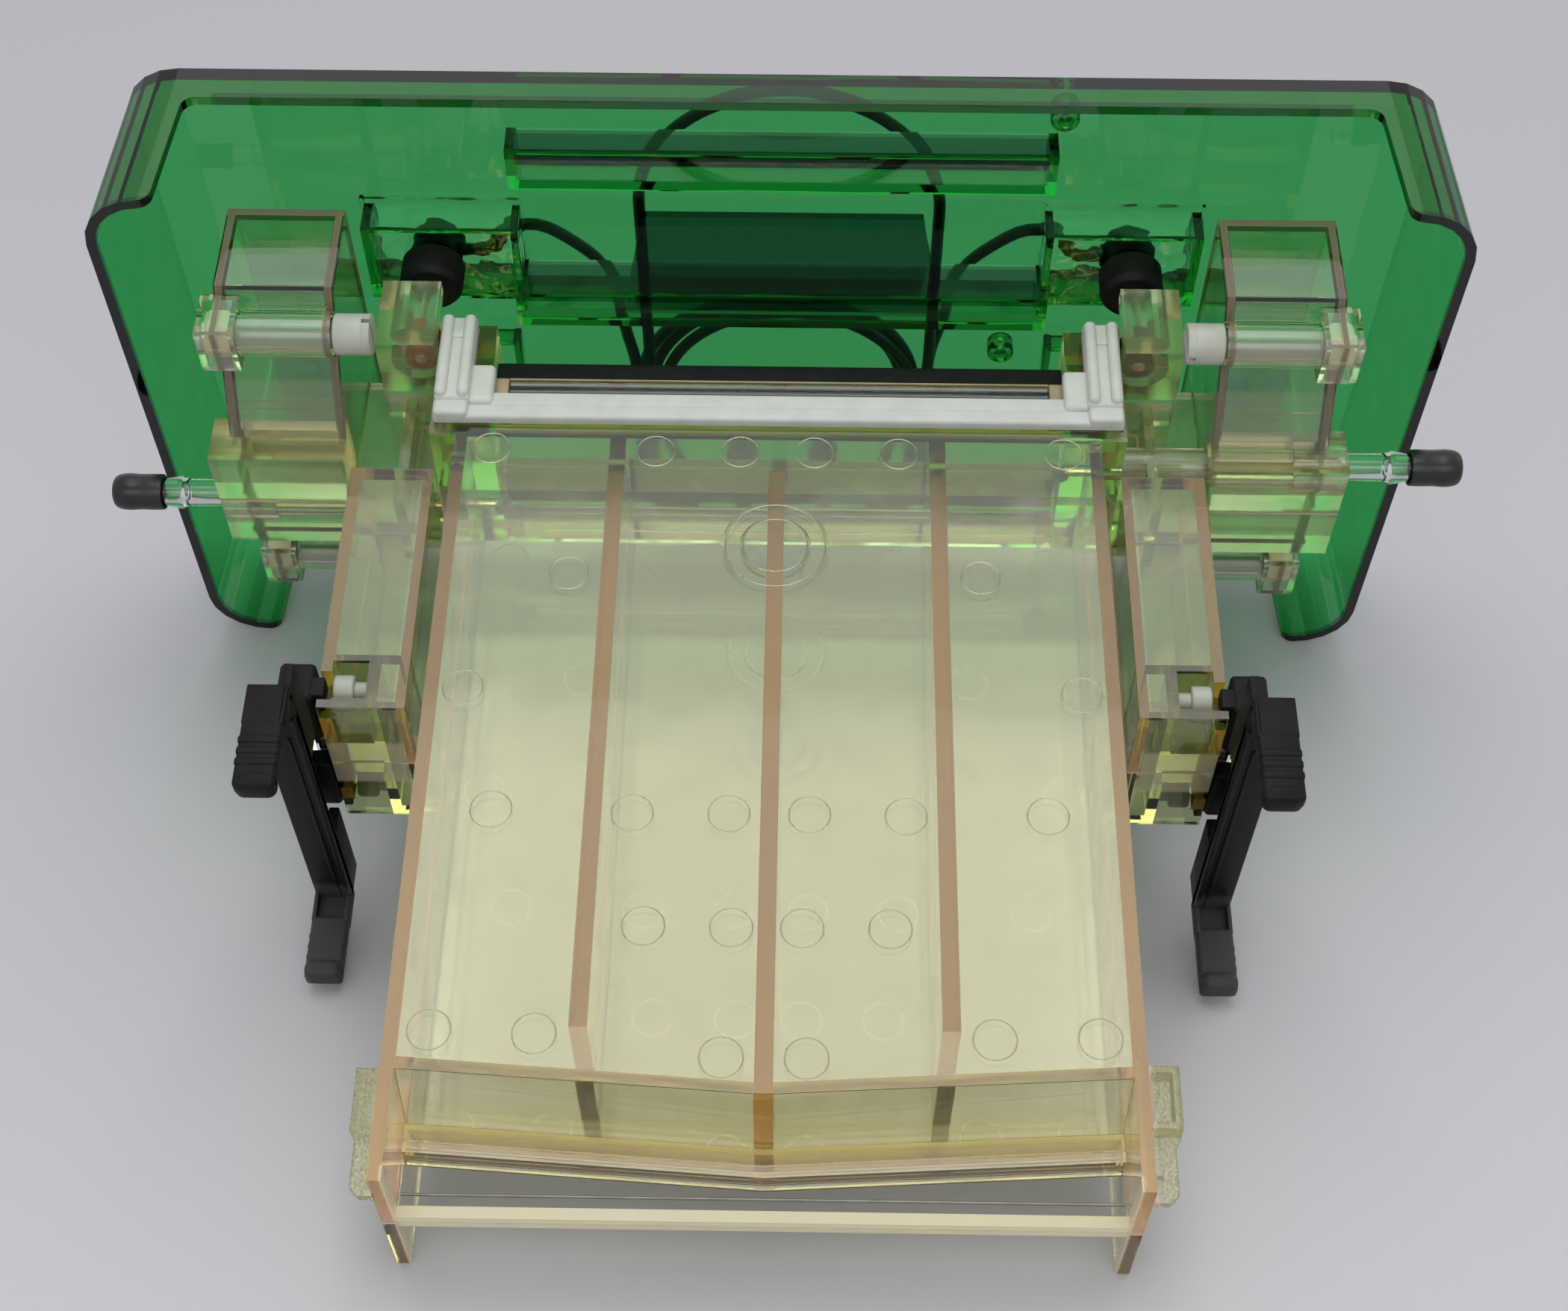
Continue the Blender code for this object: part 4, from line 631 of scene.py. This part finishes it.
def through(points, step):
    """Points a step apart on the Catmull-Rom curve through a route: 0.5 * (2b + (c-a)t + (2a-5b+4c-d)t^2 +
    (3b-a-3c+d)t^3) between b and c."""
    route = np.asarray(points, float)
    route = np.concatenate([[2 * route[0] - route[1]], route, [2 * route[-1] - route[-2]]])
    a, b, c, d = route[:-3, None], route[1:-2, None], route[2:-1, None], route[3:, None]
    t = np.linspace(0.0, 1.0, 40, endpoint=False)[None, :, None]
    square, cube = 2 * a - 5 * b + 4 * c - d, 3 * b - a - 3 * c + d
    dense = 0.5 * (2 * b + (c - a) * t + square * t ** 2 + cube * t ** 3)
    dense = np.concatenate([dense.reshape(-1, 3), route[-2:-1]])
    gone = np.concatenate([[0.0], np.cumsum(np.linalg.norm(np.diff(dense, axis=0), axis=1))])
    spots = np.linspace(0.0, gone[-1], max(8, int(gone[-1] / step)))
    return np.stack([np.interp(spots, gone, dense[:, i]) for i in range(3)], 1)


def turn_of_hank(start, top, inset):
    """One turn on the lead's own side (x > 0): down from start, round the bottom, up the other side and over
    the top, as straight runs and half circles, moving in by a lead's width on the way over."""
    low, high = HANK_LOW + HANK_HALF, top - HANK_HALF
    radius = HANK_HALF - inset
    arc = np.linspace(0.0, math.pi, 32)[1:]
    down = np.linspace(start, low, max(3, int((start - low) / 7)))
    up = np.linspace(low, high, max(3, int((high - low) / 7)))[1:]
    over = radius - LEAD_STEP * arc / math.pi
    x = np.concatenate([0 * down + radius, radius * np.cos(arc), 0 * up - radius, -over * np.cos(arc)])
    h = np.concatenate([down, low - radius * np.sin(arc), up, high + over * np.sin(arc)])
    return np.stack([x, 0 * x, h], 1)


def lead(side, name, tops):
    """The whole line of one lead, then a round curve along it."""
    layer = np.array([0.0, HANK_LAYERS[side], 0.0])
    entry = [(51.0, HANK_MIDDLE + 0.6 * (layer[1] - HANK_MIDDLE), -22.0), (49.0, layer[1], -33.0)]
    first = turn_of_hank(-45.0, tops[0], STRAND_INSET)
    second = turn_of_hank(tops[0] - HANK_HALF - 6.0, tops[1], STRAND_INSET + LEAD_STEP)
    fall = np.linspace(tops[1] - HANK_HALF - 6.0, -104.0, 14)
    drift = np.clip((-58.0 - fall) / 46.0, 0.0, 1.0)
    drift = drift * drift * (3 - 2 * drift)
    inner = HANK_HALF - STRAND_INSET - 2 * LEAD_STEP
    outer_hook, hook_radius = 31.5, 8.75
    across = inner + (outer_hook - inner) * drift
    down = np.stack([across, layer[1] + (HANK_MIDDLE - layer[1]) * drift, fall], 1)
    arc = np.linspace(0.0, math.pi, 13)
    hook = np.stack([outer_hook - hook_radius + hook_radius * np.cos(arc), 0 * arc + HANK_MIDDLE,
                     -108.6 - hook_radius * np.sin(arc)], 1)
    end = [(PLUG_X, HANK_MIDDLE, -108.2)]
    turns = [first + layer, second + layer]
    joined = np.concatenate([through(ROUTE, 4.5), entry, *turns, down, hook, end])
    line = through(joined, 3.4)
    line[:, 0] *= side
    curve = bpy.data.curves.new(name, "CURVE")
    curve.dimensions = "3D"
    curve.bevel_depth = LEAD_RADIUS / 1000
    curve.bevel_resolution = 3
    curve.use_fill_caps = True
    spline = curve.splines.new("POLY")
    spline.points.add(len(line) - 1)
    placed = bench(line)
    spline.points.foreach_set("co", np.concatenate([placed, np.ones((len(placed), 1))], 1).ravel())
    curve.materials.append(jacket.material)
    thing = bpy.data.objects.new(name, curve)
    bpy.context.scene.collection.objects.link(thing)
    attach(thing, "lid")
    length = float(np.linalg.norm(np.diff(placed, axis=0), axis=1).sum())
    print(name, "metres:", round(length, 3), "points:", len(line))
    return thing, placed[0], length


def lead_plug(side, name, slot):
    """A shrouded plug: a ribbed sleeve, a body with a finger flange and a slim pin."""
    foot = (side * PLUG_X, HANK_MIDDLE, PLUG_FOOT)
    sleeve = [(0, 0), (0, 2.9), (2, 3.0), (2.4, 2.6), (3.6, 2.7), (4, 3.2), (5.4, 3.3), (5.8, 2.9), (7, 3.0),
              (7.4, 3.9), (9, 4.4), (10.5, 5.2), (12.5, 5.2), (13.2, 4.6), (26, 4.6), (27, 5.2), (32, 5.2),
              (32, 0)]
    pin = [(31, 0), (31, 2.0), (47, 2.0), (48, 1.0), (48, 0)]
    solid = "lead_plug_" + name.split("_")[-1]
    body = make(name + "_grip", [turned(sleeve, "h", foot, 32, 0.4)], "lid", slot, solid)
    tip = make(name + "_pin", [turned(pin, "h", foot, 24, 0.3)], "lid", "plated")
    return [body, tip]


tie_outside = [(-50.9, 279.5), (-37.0, 279.5), (-37.0, 289.1), (-50.9, 289.1)]
tie_inside = [(-50.2, 280.1), (-37.7, 280.1), (-37.7, 288.5), (-50.2, 288.5)]
outer_tie = softened(tie_outside, 3.5, 6, True)
inner_tie = softened(tie_inside, 3.0, 6, True)
tie_edges = np.array([(0, -54.7), (0, -47.3), (1, -47.3), (1, -54.7)])
tie_grid = np.where(tie_edges[:, 0, None, None] > 0, inner_tie[None], outer_tie[None])
tie_levels = np.broadcast_to(tie_edges[:, 1, None, None], tie_grid.shape[:2] + (1,))
tie_grid = np.concatenate([tie_grid, tie_levels], 2)
hank_tie = make("hank_tie_band", [skin(tie_grid, True, True)], "lid", "black", "hank_tie")
for side, word in ((-1, "left"), (1, "right")):
    cord, start, length = lead(side, "lead_cord_" + word, HANK_TOPS[side])
    plug = lead_plug(side, "plug_" + word, "red" if side < 0 else "black")
    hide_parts("lead_" + word, "lead_tail_" + word)
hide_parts("lead_hank")

# %% [markdown]
# ## Moulding circles
# The pins that push a moulding out of its mould leave shallow circles on it, and a larger pair of circles
# marks the gate where the plastic flowed in. They are fine rings lying on both panels, in places that
# mirror left and right.

# %% Rings on both panels
PIN_SPOTS = ((81.8, 191.2), (34.7, 190.7), (10.6, 190.8), (56.8, 147.5), (82.7, 109.5), (35.4, 71.4),
             (10.4, 71.6), (72.0, 72.0), (31.0, 38.9), (8.9, 38.8), (81.9, 9.8), (56.2, 9.2), (10.4, 3.6))
PIN_RADIUS = 5.4
line_finish = Finish("ring_line", Transmission_Weight=1.0, IOR=CLEAR_INDEX)
point = line_finish.places()[0]
patches = line_finish.noise(point, 2.0)
line_finish.set("Base Color", line_finish.mix(patches, (0.72, 0.70, 0.56), (0.84, 0.82, 0.68)))
line_finish.set("Roughness", line_finish.noise(point, 1.0) * 0.2 + 0.2)


def fine_ring(x, y, radius, width):
    """A flat ring of a given width, 0.2 thick, lying just on the front panel."""
    foot, crest = 28.22, 28.42
    edge = [(foot, radius - width / 2), (crest, radius - width / 4), (crest, radius + width / 4),
            (foot, radius + width / 2)]
    return turned(edge, "h", (x, y, 0.0), 44, 0.0, True)


rings = [fine_ring(side * x, y, PIN_RADIUS, 0.36) for x, y in PIN_SPOTS for side in (-1, 1)]
rings += [fine_ring(0.0, GATE_SPOT[1], radius, 0.4) for radius in (9.0, 14.0)]
make("front_panel_rings", rings, "core", "amber", finish=line_finish)
rear_rings = [shift(ring, flip=REAR) for ring in rings]
make("rear_panel_rings", rear_rings, "core", "amber", finish=line_finish)
print("moulding rings:", 2 * len(rings))

# %% [markdown]
# ## The gaskets
# Each half carries a white silicone gasket: a bar with a soft near edge, and at each end an upright block
# with two raised rails that the glass plates press on. Silicone is moulded, so every edge is round. The
# rear gasket is the front one after half a turn about the core's long axis.

# %% Mould both gaskets
bar_edge = [(200.3, 28.0), (200.3, 31.2), (204.6, 31.2), (204.9, 30.95), (205.2, 31.2), (209.5, 31.2),
            (209.5, 28.0)]
bar_line = softened(bar_edge, [0.3, 1.4, 0.2, 0.2, 0.2, 0.7, 0.3], 5, True)
gasket_shapes = [slab(bar_line, -99.6, 99.6, 0.7, "yhx")]
UPRIGHT_BLOCKS = (((89.0, 205.0, 28.0), (99.3, 236.0, 34.0), 1.1, 3),
                  ((89.2, 205.4, 32.4), (92.7, 235.8, 36.0), 1.6, 5),
                  ((95.7, 205.4, 32.4), (99.2, 235.8, 36.0), 1.6, 5),
                  ((82.4, 204.9, 28.1), (90.0, 219.0, 32.8), 1.5, 5),
                  ((92.6, 227.5, 33.0), (95.8, 230.7, 34.5), 0.3, 3),
                  ((89.4, 200.2, 28.0), (99.5, 206.0, 33.0), 1.4, 5))
for side in (-1, 1):
    for low, high, radius, steps in UPRIGHT_BLOCKS:
        mirror = np.array([side, 1, 1])
        gasket_shapes.append(block(mirror * low, mirror * high, radius, steps))
rear_shapes = [shift(shape, flip=REAR) for shape in gasket_shapes]
make("front_gasket_moulding", gasket_shapes, "core", "silicone", "front_gasket")
make("rear_gasket_moulding", rear_shapes, "core", "silicone", "rear_gasket")
print("gaskets: 2 of", len(gasket_shapes), "shapes each")

# %% [markdown]
# ## The bars behind the gasket
# A clear ridged strip lies behind each gasket bar, with a tan block at either end, and a black bar stands
# behind it: a painted shade where the chamber lies deep in shadow. The strip's ridges run along it and
# break up what is seen through it, so they are part of its outline.

# %% Clear strips and black shade bars
tan = opaque("tan_plastic", (0.30, 0.24, 0.12), (0.38, 0.31, 0.17), 0.35, 0.6, 0.00003)
STRIP_NEAR, STRIP_FAR, STRIP_FOOT, STRIP_TOP = 211.2, 217.6, 23.6, 27.2
STRIP_RIDGES, RIDGE_HEIGHT = 2.5, 0.35
strip_y = np.linspace(STRIP_NEAR, STRIP_FAR, 33)
ridge_angle = (strip_y - STRIP_NEAR) / (STRIP_FAR - STRIP_NEAR) * 2 * math.pi * STRIP_RIDGES
strip_top = STRIP_TOP + RIDGE_HEIGHT * np.cos(ridge_angle)
strip_foot = [(STRIP_FAR, STRIP_FOOT), (STRIP_NEAR, STRIP_FOOT)]
strip_line = np.concatenate([np.stack([strip_y, strip_top], 1), strip_foot])
strip_shapes = [slab(strip_line, -78.6, 78.6, 0.3, "yhx")]
end_shapes = [block((side * 78.8, 211.2, 23.6), (side * 83.6, 217.7, 27.9), 0.5) for side in (-1, 1)]
end_shapes.append(block((-78.8, 217.2, 26.6), (78.8, 217.75, 27.7), 0.2))
# The black bar stands for the deep shade of the chamber behind the strip: painted shade.
shade_bar_edge = [(218.2, 12.6), (218.2, 23.4), (227.6, 23.4), (227.6, 12.6)]
shade_bar_shapes = [slab(softened(shade_bar_edge, 1.2, 4, True), -83.4, 83.4, 0.5, "yhx")]
for word, flip in (("front", (1, 1, 1)), ("rear", REAR)):
    strips, ends, shade_bars = ([shift(shape, flip=flip) for shape in shapes]
                           for shapes in (strip_shapes, end_shapes, shade_bar_shapes))
    make(word + "_strip", strips, "core", "clear", word + "_clear_bar", finish=ridged)
    make(word + "_strip_ends", ends, "core", "amber", finish=tan)
    make(word + "_seal", shade_bars, "core", "black", word + "_seal_bar")
print("strips, strip ends and seals: 2 each")

# %% [markdown]
# ## Nylon screws, nuts and rollers
# White slotted screws with cream nuts clamp the two halves through the ears, and four white rollers stand
# in the posts for the levers to ride over. A nut is a hexagon whose ends are cut round: the radius at
# each angle is the smaller of the hexagon's and the cutting cone's.


# %% Screws, nuts and rollers
SCREW_Y, SCREW_LEVEL = 213.0, 51.5
HEAD_RADIUS = 5.9


def slotted_screw(side, level, upright):
    """A head made of a disc and two half discs beside the slot, and a shank with a tapered tip."""
    place = (0.0, SCREW_Y, level)
    head_edge = [(117.5, 0), (117.5, HEAD_RADIUS), (125.7, HEAD_RADIUS), (125.7, 0)]
    head = turned(head_edge, "x", place, 48, [0, 0.05, 0.6, 0])
    shank = turned([(125.4, 0), (125.4, 3.9), (163.0, 3.9), (164.5, 3.0), (164.5, 0)], "x", place, 36)
    half_turn = np.linspace(0.125, math.pi - 0.125, 25)
    rim = HEAD_RADIUS * np.stack([np.cos(half_turn), np.sin(half_turn)], 1)
    shapes = [head, shank]
    for way in (-1, 1):
        outline = rim * np.array([1, way])
        outline = outline[:, ::-1] if upright else outline
        shapes.append(slab(outline + np.array([SCREW_Y, level]), 115.1, 117.6, 0.25, "yhx"))
    return [shift(shape, flip=(side, 1, 1)) for shape in shapes]


def hexagon_nut(side, level):
    """Rows around the nut: bore, end face, chamfer, flats and back, as radius over angle."""
    angle = np.linspace(0.0, 2 * math.pi, 72, endpoint=False)
    flats = 5.6 / np.cos(np.mod(angle, math.pi / 3) - math.pi / 6)
    along = np.array([154.6, 154.6, 155.2, 156.0, 160.2, 161.0, 161.6, 161.6])
    cone = np.array([4.2, 5.7, 6.05, 7.0, 7.0, 6.05, 5.7, 4.2])
    radius = np.minimum(flats[None], cone[:, None])
    grid = np.stack([np.broadcast_to(along[:, None], radius.shape), SCREW_Y + radius * np.cos(angle),
                     level + radius * np.sin(angle)], -1)
    return shift(skin(grid, True, True), flip=(side, 1, 1))


ROLLER_EDGE = [(108.8, 0), (108.8, 2.4), (112.4, 2.4), (112.4, 4.2), (118.0, 4.2), (118.0, 0)]
ROLLER_ROUNDING = [0, 0.4, 0.2, 0.9, 0.9, 0]
ROLLER_Y, ROLLER_LEVEL = 111.5, 22.5
for half, level in (("front", SCREW_LEVEL), ("rear", -SCREW_LEVEL)):
    for word, side in (("left", -1), ("right", 1)):
        label = half + "_" + word
        screw = slotted_screw(side, level, label == "front_left")
        make("screw_" + label, screw, "core", "nylon", "nylon_screw_" + label)
        nut = [hexagon_nut(side, level)]
        make("nut_" + label, nut, "core", "cream", "nylon_nut_" + label, sharp=25.0)
        place = (0.0, ROLLER_Y, math.copysign(ROLLER_LEVEL, level))
        roller = shift(turned(ROLLER_EDGE, "x", place, 40, ROLLER_ROUNDING), flip=(side, 1, 1))
        make("roller_" + label, [roller], "core", "nylon", "catch_roller_" + label)
print("screws, nuts and rollers: 4 each")

# %% [markdown]
# ## Cooling barbs and their caps
# Clear hose barbs leave the ears, one on each side. Each wears a soft black cap, dipped and cured, so it
# is fatter at its closed end and a little lumpy.

# %% Barbs and caps
BARB_EDGE = [(150.8, 2.6), (150.8, 4.2), (178.6, 4.2), (179.6, 4.9), (180.8, 4.9), (184.8, 4.2),
             (198.0, 4.0), (199.0, 3.4), (199.0, 2.6)]
CAP_EDGE = [(199.2, 0.0), (198.7, 4.45), (185.6, 4.5), (185.6, 5.35), (189.0, 5.5), (193.0, 5.35),
            (196.5, 5.7), (200.0, 5.1), (201.1, 3.2), (201.1, 0.0)]
CAP_ROUNDING = [0, 0.5, 0.4, 0.5, 1.6, 1.6, 1.8, 1.8, 1.8, 0]
BARB_Y, BARB_LEVEL = 202.8, 9.5
for word, side in (("left", -1), ("right", 1)):
    place = (0.0, BARB_Y, side * BARB_LEVEL)
    barb = turned(BARB_EDGE, "x", place, 48, 0.25, True)
    make(word + "_barb", [shift(barb, flip=(side, 1, 1))], "core", "clear", word + "_hose_barb")
    cap = turned(CAP_EDGE, "x", place, 40, CAP_ROUNDING)
    make(word + "_soft_cap", [shift(cap, flip=(side, 1, 1))], word + "_cap", "vinyl", word + "_barb_cap")
print("barbs and caps: 2 each")

# %% [markdown]
# ## Release levers
# A black lever hangs on each side post. It is one moulding: two hub blocks round the pin, a strap that
# passes in front of the post, and a grip arm at either end of the strap with three ridges and a rolled
# nose. Its places are written from the hinge pin, with the first number running towards the post.


# %% Mould the levers
HINGE_X, HINGE_Y = 125.5, 114.5
LEVER_WIDE = (-7.2, 3.4)


def lever_block(side, across, along, tall, radius, steps=3):
    """A round-edged block between pairs of numbers: towards the post, along the core, out of the panel."""
    low = (side * (HINGE_X - across[0]), HINGE_Y + along[0], tall[0])
    high = (side * (HINGE_X - across[1]), HINGE_Y + along[1], tall[1])
    return block(low, high, radius, steps)


SPINE = (((-7.2, -4.2), (-24.0, -4.8), (-28.0, 28.0), 0.7),
         (LEVER_WIDE, (-25.5, -22.6), (-53.6, 53.6), 0.5),
         ((2.0, 3.4), (-26.6, -23.0), (-52.5, 44.0), 0.4),
         ((-0.6, 0.4), (-26.1, -23.0), (-52.0, 34.0), 0.3))
ARM = (((-7.2, 2.7), (-9.5, 2.5), (6.6, 28.0), 1.5),
       ((1.7, 5.6), (-8.0, -2.0), (22.1, 27.7), 0.4),
       ((0.4, 3.4), (-24.0, -14.6), (20.0, 53.4), 0.5),
       (LEVER_WIDE, (-52.6, -33.0), (50.8, 56.0), 1.2),
       (LEVER_WIDE, (-34.5, -22.6), (54.0, 56.0), 0.8),
       ((1.9, 3.4), (-34.5, -22.8), (50.8, 56.0), 0.4),
       ((-7.2, -6.0), (-34.5, -22.8), (50.8, 56.0), 0.4),
       (LEVER_WIDE, (-53.0, -47.4), (48.6, 56.2), 2.4))
RIDGES = (-40.4, -43.6, -46.8)


def lever(side):
    """The strap and hub plates, then the arm, nose and ridges at both ends."""
    shapes = [lever_block(side, *part) for part in SPINE]
    for way in (-1, 1):
        for across, along, tall, radius in ARM:
            shapes.append(lever_block(side, across, along, (way * tall[0], way * tall[1]), radius, 4))
        for ridge in RIDGES:
            shapes.append(lever_block(side, (-7.3, 3.3), (ridge, ridge + 2.3), (way * 51.0, way * 56.4), 0.7))
    return shapes


for word, side in (("left", -1), ("right", 1)):
    make(word + "_lever_moulding", lever(side), word + "_lever", "black", word + "_release_lever")
    pin_edge = [(-23.7, 0), (-23.7, 2.0), (23.7, 2.0), (23.7, 0)]
    pin = turned(pin_edge, "h", (side * HINGE_X, HINGE_Y, 0.0), 28, 0.3)
    make(word + "_hinge_pin", [pin], "core", "steel", word + "_lever_pin")
print("levers and hinge pins: 2 each")

# %% [markdown]
# ## Jacks, plugs and clips
# Two plated jacks stand on the core in coloured collars, and the lid's plug collars and boots close over
# them. All are turned shapes. The lid also holds two small ring clips and two L-shaped ribs.

# %% Jacks, plugs and clips
JACK_EDGE = [(229.3, 0), (229.3, 2.0), (260.8, 2.0), (262.0, 0.9), (262.0, 0)]
RING_EDGE = [(229.3, 2.3), (229.3, 4.8), (236.0, 4.8), (236.0, 2.3)]
COLLAR_EDGE = [(252.3, 2.4), (252.3, 8.0), (254.3, 9.5), (262.7, 9.5), (262.7, 6.0), (265.5, 6.0),
               (265.5, 2.4)]
BOOT_EDGE = [(265.8, 0), (265.8, 7.6), (274.3, 7.6), (275.8, 6.1), (275.8, 0)]
ARM_EDGE = [(97.2, 0), (97.2, 3.4), (99.0, 4.0), (105.5, 4.0), (105.5, 0)]
JACK_X, JACK_LEVEL, ARM_Y = 105.5, 27.0, 270.8
for word, side in (("left", -1), ("right", 1)):
    place = (side * JACK_X, 0.0, JACK_LEVEL)
    colour = "red" if side < 0 else "black"
    jack = turned(JACK_EDGE, "y", place, 28, 0.3)
    ring = turned(RING_EDGE, "y", place, 40, 0.4, True)
    collar = turned(COLLAR_EDGE, "y", place, 48, 0.4, True)
    boot = turned(BOOT_EDGE, "y", place, 40, 0.8)
    arm = shift(turned(ARM_EDGE, "x", (0.0, ARM_Y, JACK_LEVEL), 28, 0.3), flip=(side, 1, 1))
    make(word + "_jack", [jack], "core", "plated", word + "_jack_pin")
    make(word + "_jack_ring", [ring], "core", colour, word + "_jack_collar")
    make(word + "_collar", [collar], "lid", "black", word + "_plug_collar")
    make(word + "_boot", [boot, arm], "lid", "black", word + "_plug_boot")
CLIP_EDGE = [(271.4, 2.0), (271.4, 4.2), (279.0, 4.2), (279.0, 2.0)]
for word, x, h in (("upper", 81.3, 80.0), ("lower", 70.2, -21.0)):
    clip = turned(CLIP_EDGE, "y", (x, 0.0, h), 36, 0.7, True)
    make(word + "_clip_ring", [clip], "lid", "clear", word + "_lid_clip", finish=green)
for word, side in (("left", -1), ("right", 1)):
    rib = [block((side * 83.6, 269.0, -31.0), (side * 86.0, 274.6, -14.0), 0.6)]
    rib.append(block((side * 85.0, 269.0, -17.0), (side * 96.0, 274.6, -14.5), 0.6))
    make(word + "_lid_rib", rib, "lid", "green")
print("jacks, collars, boots, clips and lid ribs made")

# %% [markdown]
# ## The end

# %% The end
print("scene dressed")
